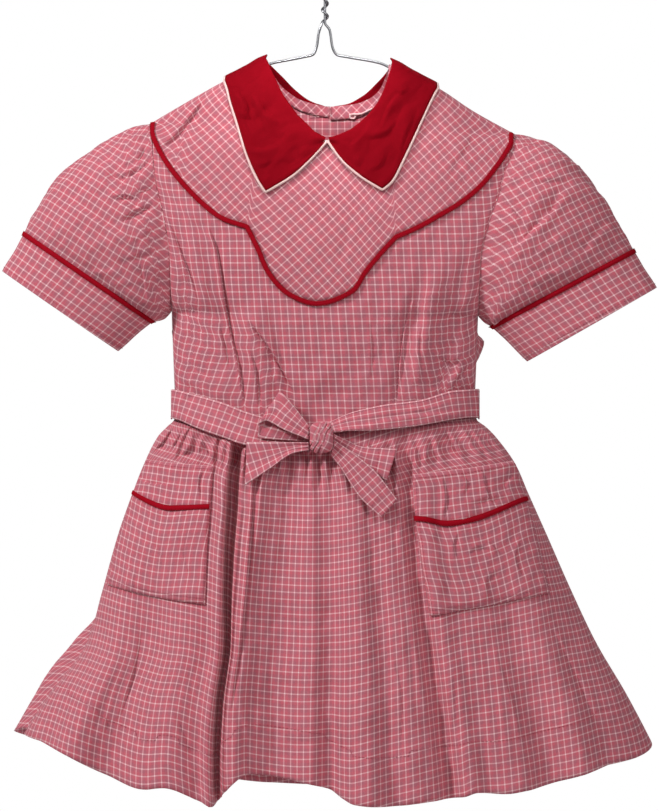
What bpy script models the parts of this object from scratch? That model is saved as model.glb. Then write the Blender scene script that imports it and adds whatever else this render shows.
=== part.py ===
"""School uniform dress for a child of five or six, hanging on a wire hanger.

Sizes are in millimetres and become metres when a mesh is made. The origin is
the inner top of the hanger's hook. Places on the dress are given the way a
maker measures a hung garment: x to the right as seen from the front, down
from the hook, and out from the flat middle of the garment, towards the front
or the back. The front of the dress faces -Y.
"""

import math

import bpy
import numpy as np

MM = 0.001
WALL = 1.2          # cotton wall, with its turned edges
GAP = 0.3           # room between two pieces at a seam
SEAM_HALF = 0.34    # half the room at a seam that is folded over an edge
LAY = 0.9           # room under a piece that lies on a coarse curved panel
SHOULDER_DROP = 70  # the cloth falls this far from the shoulder to full depth
ARM_DEPTH = 29      # half the depth of an armhole
SIDE_POWER = 2.4    # how square the body's cross-section is
TRIM_HALF = 2.2     # half the width of the red tape
BODICE_COLUMNS = 28
BACK_COLUMNS = 13
NECK_COLUMNS = 7        # the last of them, along the back neck
SKIRT_COLUMNS = 60
BACK_SKIRT_COLUMNS = 40
SLEEVE_COLUMNS = 24
BACK_LAP = 18       # the right back laps the left by this much
LAP_EDGE = 4        # x of the under lap's edge


def columns(names, rows):
    """A table with a named column for each measure."""
    return {name: np.array(values, float) for name, values in zip(names.split(), zip(*rows))}


# The body's outline at each height and its depth at the middle
BODY = columns("down left right front back", [
    (175, -154.0, 168.5, 29, 25),
    (193, -151.5, 165.0, 32, 28),
    (215, -149.5, 158.0, 34, 30),
    (236, -145.8, 152.0, 35, 31),
    (262, -140.0, 143.0, 36, 32),
    (294, -135.8, 136.0, 37, 33),
    (342, -134.8, 134.8, 36, 33),
    (392, -133.0, 133.0, 33, 31),
    (421, -132.0, 132.0, 31, 30),
    (435, -132.6, 133.4, 32, 31),
    (441, -138.5, 141.0, 35, 34),
    (450, -147.0, 150.0, 37, 36),
    (475, -159.6, 168.0, 42, 41),
    (499, -169.0, 178.5, 46, 44),
    (536, -182.0, 195.0, 52, 49),
    (586, -196.0, 217.0, 58, 55),
    (631, -209.0, 238.5, 63, 60),
    (677, -238.0, 265.5, 68, 64),
    (725, -268.0, 290.5, 72, 68),
    (785, -300.0, 318.0, 76, 72),
])
SHOULDER = columns("x down", [
    (-154, 175), (-127, 159), (-88, 137), (-50, 119.5), (0, 100),
    (48, 118.5), (61, 124.5), (99, 143), (131, 164), (167, 184),
])
# Top and bottom of each armhole
ARMHOLE = {"left": (175, 340), "right": (184, 344)}
FRONT_NECK = columns("x down", [
    (-51, 120), (-43, 139), (-33, 158.5), (-20, 175.5), (1.5, 193),
    (21, 185.5), (32, 177), (46, 160.5), (52.5, 146.5), (57, 122.5),
])
BACK_NECK = columns("x down", [
    (-51, 120), (-45, 131.5), (-38, 141), (-30, 147.5), (-20, 153), (4, 158),
    (24, 156.5), (39, 151.5), (48, 144), (54, 132), (57, 122.5),
])
# The three scallops of the yoke seam
SEAM_LEFT = columns("x down", [
    (-153.4, 177.8), (-148, 193), (-138, 211), (-124, 229), (-104, 249), (-88.5, 260), (-68, 267),
])
SEAM_MIDDLE = columns("x down", [
    (-68, 267), (-59, 285), (-49, 307), (-30, 326.5), (-7, 334),
    (24, 323), (35, 307), (48, 291), (62, 276),
])
SEAM_RIGHT = columns("x down", [
    (62, 276), (82, 267), (98, 258), (118, 246), (136, 231), (149, 215), (161, 197), (166.4, 186.7),
])
SEAM_COLUMNS = (0, 10, 18, 28)   # columns at the ends of the three scallops
SEAM_START_ANGLE = 15            # where the yoke seam meets the armhole
SEAM_END_ANGLE = 0.6             # half the room at that end of the seam
ARM_ANGLES = (0, 15, 20, 30, 60, 90, 120, 150, 165, 180)   # grid rows down the armhole
EDGE_STRIP = 1.6                 # a strip along the side seam that faces sideways
WAIST_SIDE = 421                 # the front waist seam at the side seams
BACK_WAIST = 422

# Lines down the front skirt, at the waist seam, the pocket's top, its band's
# lower edge, its own lower edge and the hem
SKIRT_LINES = columns("column x_waist x_top x_band x_end x_hem waist top band end", [
    (0, -132, -158, -169, -194, -261, 421, 470, 499, 579),
    (3, -130.5, -155, -167, -190, -249, 422, 470.5, 500.5, 580),
    (9, -110, -128, -135, -147, -184, 428, 473.5, 513.5, 590),
    (15, -84, -96, -99, -103, -110, 436, 476, 512, 596),
    (19, -70, -79, -81, -84, -93, 441, 479, 515, 599),
    (22, -58, -64, -68, -77, -86, 445, 481, 517, 601),
    (32, 0, 2, 3, 5, 6, 448, 485, 521, 605),
    (44, 66, 77, 80, 92, 119, 431, 483, 522, 605),
    (50, 98, 122, 128, 143, 182, 425, 478, 525, 597),
    (57, 129.5, 164, 176, 196, 247, 422, 472, 506, 587),
    (60, 132, 167, 181, 216, 288, 421, 474, 507, 585),
])
SKIRT_LEVELS = ("waist", "top", "band", "end", "hem")
HEM_FRONT = columns("x down", [
    (-261, 714), (-223, 735), (-194, 748), (-157, 762), (-140, 761), (-108, 773), (-97, 774.5),
    (-90, 766), (-80, 758), (-66, 751), (-22, 752), (4, 755), (15, 772), (26, 777), (53, 778),
    (91, 773.5), (119, 769), (133, 761), (153, 764), (176, 763), (205, 753), (243, 741), (288, 726),
])
HEM_BACK = columns("x down", [
    (-261, 706), (-250, 709), (-235, 722), (-223, 730), (-157, 754), (-100, 763), (-62, 766), (9, 768),
    (60, 768), (120, 764), (176, 756), (243, 738), (288, 726),
])
# Soft folds down the skirt: place and half-width in columns, and how far the
# cloth stands out at each level
FRONT_FOLDS = columns("column half waist top band end hem", [
    (5.5, 2.4, 0, 0, 0, 5, 18),
    (8.8, 2.2, 0, 0, 0, -3, -12),
    (12.5, 2.5, 0, 0, 0, 2, 11),
    (16.8, 1.8, 1, 7, 9, 11, 13),
    (19.0, 1.6, -2, -14, -17, -19, -20),
    (20.9, 1.2, 0, 3, 4, 5, 4),
    (23.4, 2.2, 0, 4, 6, 9, 10),
    (27.5, 3.2, 0, -3, -6, -10, -14),
    (31.8, 1.8, 0, -1, -3, -8, -14),
    (35.5, 2.8, 0, 3, 6, 11, 17),
    (40.0, 2.6, 0, 0, 2, 5, 9),
    (43.0, 1.4, -1, -5, -8, -11, -14),
    (45.0, 1.6, 0, 1, 3, 5, 8),
    (48.5, 2.4, 0, 0, 0, 0, 8),
    (51.5, 2.2, 0, 0, 0, -3, -11),
    (55.0, 2.6, 0, 0, 0, 3, 14),
])
BACK_FOLDS = columns("column half waist top band end hem", [
    (4, 2.4, 0, 1, 3, 6, 12),
    (8, 2.2, 0, -3, -7, -11, -15),
    (12, 2.4, 0, 4, 8, 12, 16),
    (16, 2.0, 0, -5, -9, -13, -17),
    (20, 2.6, 0, 4, 8, 13, 18),
    (24.5, 2.2, 0, -4, -8, -12, -16),
    (28, 2.4, 0, 5, 9, 13, 18),
    (32.5, 2.2, 0, -3, -7, -10, -14),
    (36.5, 2.4, 0, 2, 5, 8, 13),
])
GATHER_HEIGHT = columns("level open_front under_pocket back", [
    (0, 0.3, 0.3, 0.3), (0.35, 0.9, 0.8, 0.9), (0.5, 3.2, 2.6, 3.2), (0.75, 4.2, 2.2, 4.2),
    (1.0, 3.2, 0.3, 3.4), (2.0, 1.5, 0, 2.0), (3.0, 0.5, 0, 0.8), (4.0, 0, 0, 0),
])
# Soft tucks down the front bodice, as columns of its grid
BODICE_TUCKS = columns("column half height start end", [
    (4.2, 1.4, 3.0, 0.05, 0.75),
    (6.6, 1.3, -3.0, 0.10, 0.90),
    (9.0, 1.5, 3.0, 0.25, 1.05),
    (11.6, 1.3, -3.0, 0.10, 1.05),
    (20.6, 1.2, -3.2, 0.15, 1.05),
    (22.2, 1.3, 2.8, 0.15, 1.05),
    (24.8, 1.5, -2.6, 0.30, 1.00),
])
# Where the back panel's cloth swings out past the side seam
BACK_SWING = columns("down left right", [
    (350, 0, 0), (358, -5, 3), (367, -2, 11), (380, 0, 7), (395, 0, 0),
    (595, 0, 0), (609, -6, 0), (631, -20, 0), (653, -25, 0), (677, -22, 0), (708, -20, 0), (785, -20, 0),
])
# Sleeve sections from the armhole to the cuff seam and to the cuff's edge
SLEEVES = {
    "left": columns("top_x top bottom_x bottom depth", [
        (-154, 175, -134.9, 340, 29), (-168, 178.5, -138, 343.2, 33), (-186, 186.5, -141, 345.8, 36),
        (-207, 199, -144, 347.2, 38), (-228, 215.5, -146.5, 348, 38), (-244, 234, -148.6, 348.6, 36),
        (-256, 253, -150.3, 349, 32), (-265, 272, -152, 349.3, 26), (-284, 304.5, -182, 375, 27),
    ]),
    "right": columns("top_x top bottom_x bottom depth", [
        (167, 184, 134.9, 344, 29), (180, 186.5, 138, 347.4, 33), (196, 191, 140.6, 350, 36),
        (212, 201, 142.8, 351.6, 38), (230, 220, 144.4, 352.6, 38), (247, 243, 145.6, 353.3, 36),
        (260, 266, 146.4, 353.7, 32), (272, 287, 147.2, 354, 26), (292, 319, 178, 384, 27),
    ]),
}
CUFF_SEAM = 7                    # the row of the sleeve table at the cuff seam
CAP_GATHER = 2.4                 # height of the gathers round the sleeve cap
# Collar edges: the neck edge and the outer edge, front from the centre to the
# shoulder and back from the shoulder to the centre
COLLAR = {
    "left": columns("neck_x neck outer_x outer face", [
        (0.4, 190.5, -0.6, 193.5, 1), (-8, 185.5, -14, 208, 1), (-16, 177.5, -29, 221.5, 1),
        (-24, 169, -51.5, 235.5, 1), (-30, 161, -60, 221, 1), (-37, 150, -67.5, 203, 1),
        (-42.5, 138.5, -76, 175, 1), (-46.5, 130, -81, 158, 1), (-48.5, 125, -84, 146, 1),
        (-50, 121.8, -86.2, 139.3, 1),
        (-50.5, 120.5, -86.8, 137, 0), (-50, 121.4, -86.4, 139.3, -1), (-48.5, 124, -85, 146, -1), (-44, 127.5, -83, 158, -1),
        (-36, 134.5, -74, 181, -1), (-25, 145, -52, 198, -1), (-13, 153.5, -27, 203.5, -1),
        (0, 158, 0, 205, -1),
    ]),
    "right": columns("neck_x neck outer_x outer face", [
        (3.4, 190.5, 4.4, 193.5, 1), (13, 187, 18, 210.5, 1), (22, 183, 33, 223, 1),
        (31, 176, 50, 233.5, 1), (38, 168.5, 57.5, 227, 1), (45.5, 159, 70, 203, 1),
        (51, 147, 83, 174, 1), (54.5, 136, 89.5, 160, 1), (56.5, 129.5, 94.5, 150, 1),
        (57, 124.4, 97, 145, 1),
        (57.2, 122.9, 97.8, 142.6, 0), (57, 124.4, 97.2, 145, -1), (55.5, 128, 96.3, 151, -1), (51, 133.5, 94, 163, -1),
        (44, 140.5, 82, 186, -1), (33, 149.5, 62, 200, -1), (20, 156, 36, 204.5, -1),
        (8, 158, 8, 205, -1),
    ]),
}
COLLAR_WALL = 1.4
COLLAR_ROLL = columns("across out", [(0, 4.4), (0.18, 4.6), (0.5, 3.0), (0.8, 2.6), (1.0, 2.6), (1.1, 2.3)])
PIPING_RADIUS = 1.0
# Belt edges across the front, from the knot to each side
BELT = {
    "left": columns("x upper lower", [
        (-4.5, 447, 457), (-16, 446, 458), (-28, 443, 460), (-45, 437, 462), (-69.5, 428, 458), (-89, 420, 451.5),
        (-113, 413, 443.5), (-126, 409.5, 439), (-131, 408.4, 435.6),
    ]),
    "right": columns("x upper lower", [
        (-1, 441, 448), (9, 436, 447), (23, 429, 446), (38, 425, 446), (52, 422, 445), (82, 418, 442),
        (111, 409.5, 438.5), (126, 408.5, 436.5), (131.5, 408, 435.5),
    ]),
}
BELT_OUT = 3.5
BELT_LOWER_OUT = 5.4
# Ribbons of the bow: the two edges of the belt's cloth at each section, with
# how far each stands out from the body
BOW = {
    "bow_loop_left": columns("x1 down1 out1 x2 down2 out2", [
        (-14, 441, 15.5, -14.2, 452, 15.0), (-26, 425, 16.5, -34, 444.5, 15.5), (-35, 414, 15.5, -51, 436, 14),
        (-39, 411.5, 11.5, -57.6, 440, 11.4), (-37, 413, 7.8, -58, 450, 8.4), (-28, 427, 7.0, -36, 452.8, 8.0),
        (-14.2, 443, 7.4, -14.2, 453.6, 8.6),
    ]),
    "bow_tail_left": columns("x1 down1 out1 x2 down2 out2", [
        (-14, 455.2, 9.8, -14, 461.5, 9.2), (-26, 455, 7.4, -28, 465, 7.4), (-46, 455, 7.0, -48, 478.5, 7.4),
        (-68, 455, 7.0, -69.5, 493, 9.0),
    ]),
    "bow_end_right": columns("x1 down1 out1 x2 down2 out2", [
        (8, 447.5, 9.8, 8, 458, 9.6), (20, 453, 7.6, 19, 468, 7.4), (34, 458.5, 6.8, 34, 478, 6.6),
        (63, 460, 7.5, 54, 488, 8.0),
    ]),
    "bow_tail_right": columns("x1 down1 out1 x2 down2 out2", [
        (8.4, 453, 12.0, 5.5, 465.5, 11.0), (23, 463, 11.0, 14, 477, 10.4), (42, 478, 10.4, 30, 502, 10.0),
        (63, 504.5, 9.5, 49, 520, 9.0),
    ]),
}
KNOT_X = -3
KNOT_DOWN = 450.5
KNOT_OUT = 13.4
KNOT_SIZE = (10.6, 7.0, 12.6)    # half width, half depth, half height
KNOT_POWER = 0.6
FACING_ROWS = 4
BUTTON_DOWNS = (224, 278, 332, 386)
BUTTON_RADIUS = 5.5
BUTTON_THICK = 2.4
BUTTON_X = -5
HOOK_RADIUS = 18
WIRE_RADIUS = 1.15
HANGER = columns("x down", [
    (4, 92), (5, 97), (6.5, 107), (10.5, 114.2), (20, 116.2), (48, 121.4), (61, 127.6), (99, 146.4),
    (128, 165.2), (146, 176), (150, 182), (146, 187), (100, 189), (0, 190), (-100, 189),
    (-134, 186), (-138, 180), (-133, 170), (-127, 162.4), (-88, 140.4), (-50, 122.6), (-20, 116.4),
    (-10.5, 114), (-7, 106), (-5.5, 95), (-4, 90),
])
TWIST_TURNS = 3
TWIST_TOP = 52
TWIST_FOOT = 86


def smooth(xs, ys, x):
    """A curve through the points of a table that never overshoots them."""
    xs = np.asarray(xs, float)
    ys = np.asarray(ys, float)
    x = np.clip(np.asarray(x, float), xs[0], xs[-1])
    wide = (-1,) + (1,) * (ys.ndim - 1)
    step = np.diff(xs).reshape(wide)
    slope = np.diff(ys, axis=0) / step
    before, after = slope[:-1], slope[1:]
    same_way = before * after > 0
    inner = np.where(same_way, 2 * before * after / np.where(same_way, before + after, 1), 0)
    tangent = np.concatenate([slope[:1], inner, slope[-1:]])
    k = np.clip(np.searchsorted(xs, x, side="right") - 1, 0, len(xs) - 2)
    shape = x.shape + (1,) * (ys.ndim - 1)
    width = (xs[k + 1] - xs[k]).reshape(shape)
    t = (x - xs[k]).reshape(shape) / width
    rise = ys[k] * (1 + 2 * t) * (1 - t) ** 2 + ys[k + 1] * t * t * (3 - 2 * t)
    return rise + tangent[k] * width * t * (1 - t) ** 2 + tangent[k + 1] * width * t * t * (t - 1)


def along(table, t):
    """Points at shares t of the way along a table of x and down."""
    steps = np.hypot(np.diff(table["x"]), np.diff(table["down"]))
    reach = np.concatenate([[0], np.cumsum(steps)]) / steps.sum()
    return smooth(reach, table["x"], t), smooth(reach, table["down"], t)


def side_edge(down, side):
    return smooth(BODY["down"], BODY[side], down)


def arm_depth(down, side):
    """Half the armhole's depth at a height, nothing above or below it."""
    top, bottom = ARMHOLE[side]
    share = (down - (top + bottom) / 2) / ((bottom - top) / 2)
    return ARM_DEPTH * np.sqrt(np.clip(1 - share ** 2, 0, 1))


def body_depth(x, down, face):
    """How far the body's cloth stands out from the middle, without its folds."""
    x, down = np.broadcast_arrays(np.asarray(x, float), np.asarray(down, float))
    right = x > 0
    edge = np.where(right, side_edge(down, "right"), side_edge(down, "left"))
    arm = np.where(right, arm_depth(down, "right"), arm_depth(down, "left"))
    share = np.clip(np.abs(x / edge), 0, 1)
    fall = np.clip((down - smooth(SHOULDER["x"], SHOULDER["down"], x)) / SHOULDER_DROP, 0, 1)
    lift = np.sqrt(np.clip(1 - (1 - fall) ** 2, 0, 1))
    middle = smooth(BODY["down"], BODY[face], down) * lift
    roundness = np.sqrt(np.clip(1 - share ** SIDE_POWER, 0, 1))
    return arm + (middle - arm) * roundness


def place(x, down, out, face):
    """Points in space from a maker's measures."""
    toward = -1 if face == "front" else 1
    x, down, out = np.broadcast_arrays(x, down, out)
    return np.stack([x, toward * out, -down], axis=-1)


def on_body(x, down, out, face):
    """A point moved straight out of the body's smooth surface."""
    probe = 0.4
    x = np.asarray(x, float)
    down = np.asarray(down, float)
    depth = body_depth(x, down, face)
    slope_x = (body_depth(x + probe, down, face) - body_depth(x - probe, down, face)) / (2 * probe)
    slope_down = (body_depth(x, down + probe, face) - body_depth(x, down - probe, face)) / (2 * probe)
    length = np.sqrt(slope_x ** 2 + slope_down ** 2 + 1)
    return place(x - out * slope_x / length, down - out * slope_down / length, depth + out / length, face)


def bump(distance):
    """A soft ridge one high in the middle and flat at distance 1."""
    return np.where(np.abs(distance) < 1, 0.5 + 0.5 * np.cos(np.pi * np.clip(distance, -1, 1)), 0)


def clean(values):
    """Depths at a seam stop a little before the middle."""
    return np.maximum(values, SEAM_HALF)


def paint(name, colour, roughness, metallic=0.0):
    """A plain material in a piece's colour."""
    material = bpy.data.materials.new(name)
    material.use_nodes = True
    shader = material.node_tree.nodes["Principled BSDF"]
    shader.inputs["Base Color"].default_value = (*colour, 1)
    shader.inputs["Roughness"].default_value = roughness
    shader.inputs["Metallic"].default_value = metallic
    return material


def put(name, data, collection, colour, roughness=0.85, metallic=0.0):
    piece = bpy.data.objects.new(name, data)
    data.materials.append(paint(name, colour, roughness, metallic))
    collection.objects.link(piece)
    return piece


def sheet(name, grid, colour, wall=WALL, flip=False, ring=False):
    """A cloth wall through a grid of points, rows by columns, thickened inwards."""
    rows, across = grid.shape[:2]
    faces = []
    for r in range(rows - 1):
        for c in range(across if ring else across - 1):
            d = (c + 1) % across
            face = (r * across + c, (r + 1) * across + c, (r + 1) * across + d, r * across + d)
            faces.append(face[::-1] if flip else face)
    mesh = bpy.data.meshes.new(name)
    mesh.from_pydata((grid.reshape(-1, 3) * MM).tolist(), [], faces)
    mesh.shade_smooth()
    piece = put(name, mesh, parts, colour)
    shell = piece.modifiers.new("wall", "SOLIDIFY")
    shell.thickness = wall * MM
    shell.offset = -1
    return piece


def wire(name, points, radius, colour, roughness, metallic=0.0):
    """A round wire or cord along a list of points, with closed ends."""
    curve = bpy.data.curves.new(name, "CURVE")
    curve.dimensions = "3D"
    curve.bevel_depth = radius * MM
    curve.bevel_resolution = 2
    curve.use_fill_caps = True
    spline = curve.splines.new("POLY")
    spline.points.add(len(points) - 1)
    for spot, point in zip(spline.points, points):
        spot.co = (*(np.asarray(point) * MM), 1)
    return put(name, curve, parts, colour, roughness, metallic)


def seam_points():
    """The yoke seam at every column of the front bodice."""
    spans = zip((SEAM_LEFT, SEAM_MIDDLE, SEAM_RIGHT), SEAM_COLUMNS[:-1], SEAM_COLUMNS[1:])
    xs, downs = [], []
    for table, first, last in spans:
        x, down = along(table, np.linspace(0, 1, last - first + 1))
        xs.extend(x[:-1])
        downs.extend(down[:-1])
    xs.append(SEAM_RIGHT["x"][-1])
    downs.append(SEAM_RIGHT["down"][-1])
    return np.array(xs), np.array(downs)


def beside_seam(x, down, distance):
    """The seam line moved down its own slope's square, for the tape's edges."""
    run_x = np.gradient(x)
    run_down = np.gradient(down)
    length = np.hypot(run_x, run_down)
    across_x, across_down = -run_down / length, run_x / length
    return x + across_x * distance, down + across_down * distance


def arm_row(side, angle):
    """The height on the armhole at an angle from its top."""
    top, bottom = ARMHOLE[side]
    return (top + bottom) / 2 - (bottom - top) / 2 * np.cos(np.radians(angle))


def arm_line(side, down):
    """The armhole's edge, straight between the rows of the panels' grids."""
    knots = arm_row(side, np.array(ARM_ANGLES))
    return np.interp(down, knots, side_edge(knots, side))


def yoke_grid():
    """The yoke from the shoulder and neck edge down to its seam."""
    seam_x, seam_down = seam_points()
    neck_left, neck_right = SEAM_COLUMNS[1], SEAM_COLUMNS[2]
    top_x = np.concatenate([
        np.linspace(-153.6, -50.5, neck_left + 1)[:-1],
        along(FRONT_NECK, np.linspace(0, 1, neck_right - neck_left + 1))[0],
        np.linspace(56.8, 166.6, BODICE_COLUMNS - neck_right + 1)[1:],
    ])
    neck_down = along(FRONT_NECK, np.linspace(0, 1, neck_right - neck_left + 1))[1]
    top = smooth(SHOULDER["x"], SHOULDER["down"], top_x)
    top[neck_left:neck_right + 1] = neck_down
    low_x, low = beside_seam(seam_x, seam_down, -TRIM_HALF)
    shares = np.array([0, 0.001, 0.02, 0.07, 0.18, 0.38, 0.65, 1])
    x = top_x + (low_x - top_x) * shares[:, None]
    down = top + (low - top) * shares[:, None]
    end_x, end = beside_seam(seam_x, seam_down, -SEAM_HALF)
    x = np.vstack([x, end_x])
    down = np.vstack([down, end])
    angles = np.array([0, 1.5, 3, 5, 7, 9, 11, 13, SEAM_START_ANGLE - SEAM_END_ANGLE])
    for column, side in ((0, "left"), (-1, "right")):
        down[:, column] = [arm_row(side, angle) for angle in angles]
        x[:, column] = side_edge(down[:, column], side)
    return x, down, body_depth(x, down, "front")


def bodice_rows(side, last):
    """Heights down the armhole and the side, at angles and then evenly."""
    arm = arm_row(side, np.array(ARM_ANGLES[2:]))
    below = np.linspace(arm[-1], last, 5)[1:]
    return np.concatenate([arm, below])


def bodice_grid():
    """The lower front from the yoke seam down to the waist seam."""
    seam_x, seam_down = seam_points()
    column = np.arange(BODICE_COLUMNS + 1)
    share = column / BODICE_COLUMNS
    low_x, low = beside_seam(seam_x, seam_down, TRIM_HALF)
    waist_x = np.interp(share, (0, 1), (-132, 132))
    waist = waist_seam(waist_x) - GAP / 2
    low = np.minimum(low, waist - 60)
    left_rows = bodice_rows("left", waist[0])
    right_rows = bodice_rows("right", waist[-1])
    low_x[0], low[0] = side_edge(left_rows[0], "left"), left_rows[0]
    low_x[-1], low[-1] = side_edge(right_rows[0], "right"), right_rows[0]
    left_share = (left_rows - left_rows[0]) / (left_rows[-1] - left_rows[0])
    right_share = (right_rows - right_rows[0]) / (right_rows[-1] - right_rows[0])
    fall = left_share[:, None] * (1 - share) + right_share[:, None] * share
    down = low + (waist - low) * fall
    edges = side_edge(low, "left"), side_edge(low, "right")
    across_top = (low_x - edges[0]) / (edges[1] - edges[0])
    across = across_top + (share - across_top) * fall
    above_belt = np.minimum(down, WAIST_SIDE)
    left, right = side_edge(above_belt, "left"), side_edge(above_belt, "right")
    x = left + (right - left) * across
    start_x, start = beside_seam(seam_x, seam_down, SEAM_HALF)
    for end, side in ((0, "left"), (-1, "right")):
        start[end] = arm_row(side, SEAM_START_ANGLE + SEAM_END_ANGLE)
        start_x[end] = side_edge(start[end], side)
    x = np.vstack([start_x, x])
    down = np.vstack([start, down])
    out = body_depth(x, down, "front") + tucks(column, np.vstack([0 * share, fall]))
    return x, down, out


def side_strips(grid, sides):
    """The same grid with a narrow strip that faces sideways at each side seam."""
    x, down, out = (part for part in grid)
    for at, side in sides:
        edge = at if at == 0 else len(x[0]) - 1
        place_at = 1 if at == 0 else edge
        inward = 0.03 if side == "left" else -0.03
        x = np.insert(x, place_at, x[:, edge] + inward, axis=1)
        down = np.insert(down, place_at, down[:, edge], axis=1)
        out = np.insert(out, place_at, out[:, edge] + EDGE_STRIP, axis=1)
    return x, down, out


def tucks(column, fall):
    """The bodice's soft tucks at each column and share of the way down."""
    out = np.zeros(fall.shape)
    for c, half, height, start, end in zip(*(BODICE_TUCKS[k] for k in ("column", "half", "height", "start", "end"))):
        middle, reach = (start + end) / 2, (end - start) / 2
        out += height * bump((column - c) / half) * bump((fall - middle) / reach)
    return out


def waist_seam(x):
    """The front waist seam, which dips to the knot, straight between the bodice's columns."""
    knots = np.linspace(-132, 132, BODICE_COLUMNS + 1)
    return np.interp(x, knots, smooth(SKIRT_LINES["x_waist"], SKIRT_LINES["waist"], knots))


def body_edge(x, down):
    """Half the body's width at a height, on the side where x lies."""
    return np.where(x > 0, side_edge(down, "right"), -side_edge(down, "left"))


def skirt_lines(column, level, lines, hem, face):
    """Guide lines of a skirt panel: share of the half width, and height."""
    known_x = np.stack([smooth(lines["column"], lines[f"x_{name}"], column) for name in SKIRT_LEVELS])
    heights = [smooth(lines["column"], lines[name], column) for name in SKIRT_LEVELS[:-1]]
    if face == "front":
        heights[0] = waist_seam(known_x[0])
    known_down = np.stack(heights + [smooth(hem["x"], hem["down"], known_x[-1])])
    steps = np.arange(len(SKIRT_LEVELS))
    shares = np.clip(known_x / body_edge(known_x, known_down), -1, 1)
    return smooth(steps, shares, level), smooth(steps, known_down, level)


def skirt_surface(column, level, lines, hem, folds, face, gathers):
    """A skirt panel at each level and column of its lines."""
    steps = np.arange(len(SKIRT_LEVELS))
    share, down = skirt_lines(column, level, lines, hem, face)
    last = lines["column"][-1]
    from_side = np.clip(np.minimum(column, last - column) / 3, 0, 1)
    second = np.where(column < last / 2, 3, last - 3)
    inner = skirt_lines(second, level, lines, hem, face)[0]
    near_side = np.sign(column - last / 2) * (1 - (1 - np.abs(inner)) * from_side ** 2)
    share = np.where(from_side < 1, near_side, share)
    x = share * body_edge(share, down)
    free = np.sqrt(1 - np.abs(share) ** SIDE_POWER)
    out = np.zeros(x.shape)
    for i, middle in enumerate(folds["column"]):
        heights = np.array([folds[name][i] for name in SKIRT_LEVELS])
        out += smooth(steps, heights, level)[:, None] * bump((column - middle) / folds["half"][i])
    uneven = 0.75 + 0.25 * np.sin(1.7 * column)
    out += gathers * uneven * np.cos(np.pi * column)
    out = body_depth(x, down, face) + out * np.clip(free * 1.6, 0, 1)
    return x, down, out


def front_gathers(column, level):
    """Height of the waist gathers, which stop where a pocket lies on them."""
    steps = GATHER_HEIGHT["level"]
    pocket = ((column >= 2) & (column <= 15)) | ((column >= 44) & (column <= 58))
    open_front = smooth(steps, GATHER_HEIGHT["open_front"], level)[:, None]
    covered = smooth(steps, GATHER_HEIGHT["under_pocket"], level)[:, None]
    return np.where(pocket, covered, open_front)


def skirt_front(column, level):
    column = np.asarray(column, float)
    level = np.asarray(level, float)
    gathers = front_gathers(column, level)
    return skirt_surface(column, level, SKIRT_LINES, HEM_FRONT, FRONT_FOLDS, "front", gathers)


def back_lines():
    """Lines down the back skirt, evenly between the side seams."""
    count = BACK_SKIRT_COLUMNS
    column = np.array([0, 3, 10, 20, 30, count - 3, count])
    share = np.interp(column, (0, 3, count - 3, count), (-1, -0.955, 0.955, 1))
    lines = {"column": column.astype(float)}
    heights = {"waist": BACK_WAIST, "top": 478, "band": 520, "end": 598, "hem": 720}
    for name, down in heights.items():
        wide = np.where(share < 0, -side_edge(down, "left"), side_edge(down, "right"))
        lines[f"x_{name}"] = share * wide
        lines[name] = np.full(len(column), float(down))
    return lines


def skirt_back(column, level):
    column = np.asarray(column, float)
    level = np.asarray(level, float)
    gathers = smooth(GATHER_HEIGHT["level"], GATHER_HEIGHT["back"], level)[:, None]
    x, down, out = skirt_surface(column, level, back_lines(), HEM_BACK, BACK_FOLDS, "back", gathers)
    return swing(x, down), down, out


def swing(x, down):
    """The back panel's cloth swung out past the side seam."""
    moved = np.array(x)
    for side in ("left", "right"):
        share = x / side_edge(down, side)
        reach = smooth(BACK_SWING["down"], BACK_SWING[side], down)
        near = smooth((0.0, 0.80, 0.965, 1.0), (0, 0, 1, 0), np.clip(share, 0, 1))
        moved = moved + reach * near
    return moved


def lifted(surface, column, level, out, face):
    """Points of a panel moved straight out of it."""
    step_c, step_l = 0.5, 0.05
    here = place(*surface(column, level), face)
    last_level = len(SKIRT_LEVELS) - 1
    low = np.clip(np.asarray(level) - step_l, 0, last_level)
    high = np.clip(np.asarray(level) + step_l, 0, last_level)
    left = place(*surface(np.asarray(column) - step_c, level), face)
    right = place(*surface(np.asarray(column) + step_c, level), face)
    upper = place(*surface(column, low), face)
    lower = place(*surface(column, high), face)
    normal = np.cross(lower - upper, right - left)
    if face == "back":
        normal = -normal
    return here + out * normal / np.linalg.norm(normal, axis=-1, keepdims=True)


def make_yoke_and_bodice():
    x, down, out = yoke_grid()
    yoke = place(x, down, clean(out), "front")
    sheet("yoke_front", yoke, ROSE)
    x, down, out = side_strips(bodice_grid(), ((0, "left"), (-1, "right")))
    sheet("bodice_front", place(x, down, clean(out), "front"), ROSE)
    make_yoke_trim()


def make_yoke_trim():
    """Red tape that lies over the yoke seam, on the edge rows of both panels."""
    yoke = yoke_grid()
    bodice = bodice_grid()
    keep = slice(1, -1)
    rise = WALL + GAP + 0.15
    rows = []
    for grid, row in ((yoke, -2), (yoke, -1), (bodice, 1)):
        rows.append(on_body(grid[0][row, keep], grid[1][row, keep], rise, "front"))
    sheet("yoke_trim", np.stack(rows), RED, wall=WALL)


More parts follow.
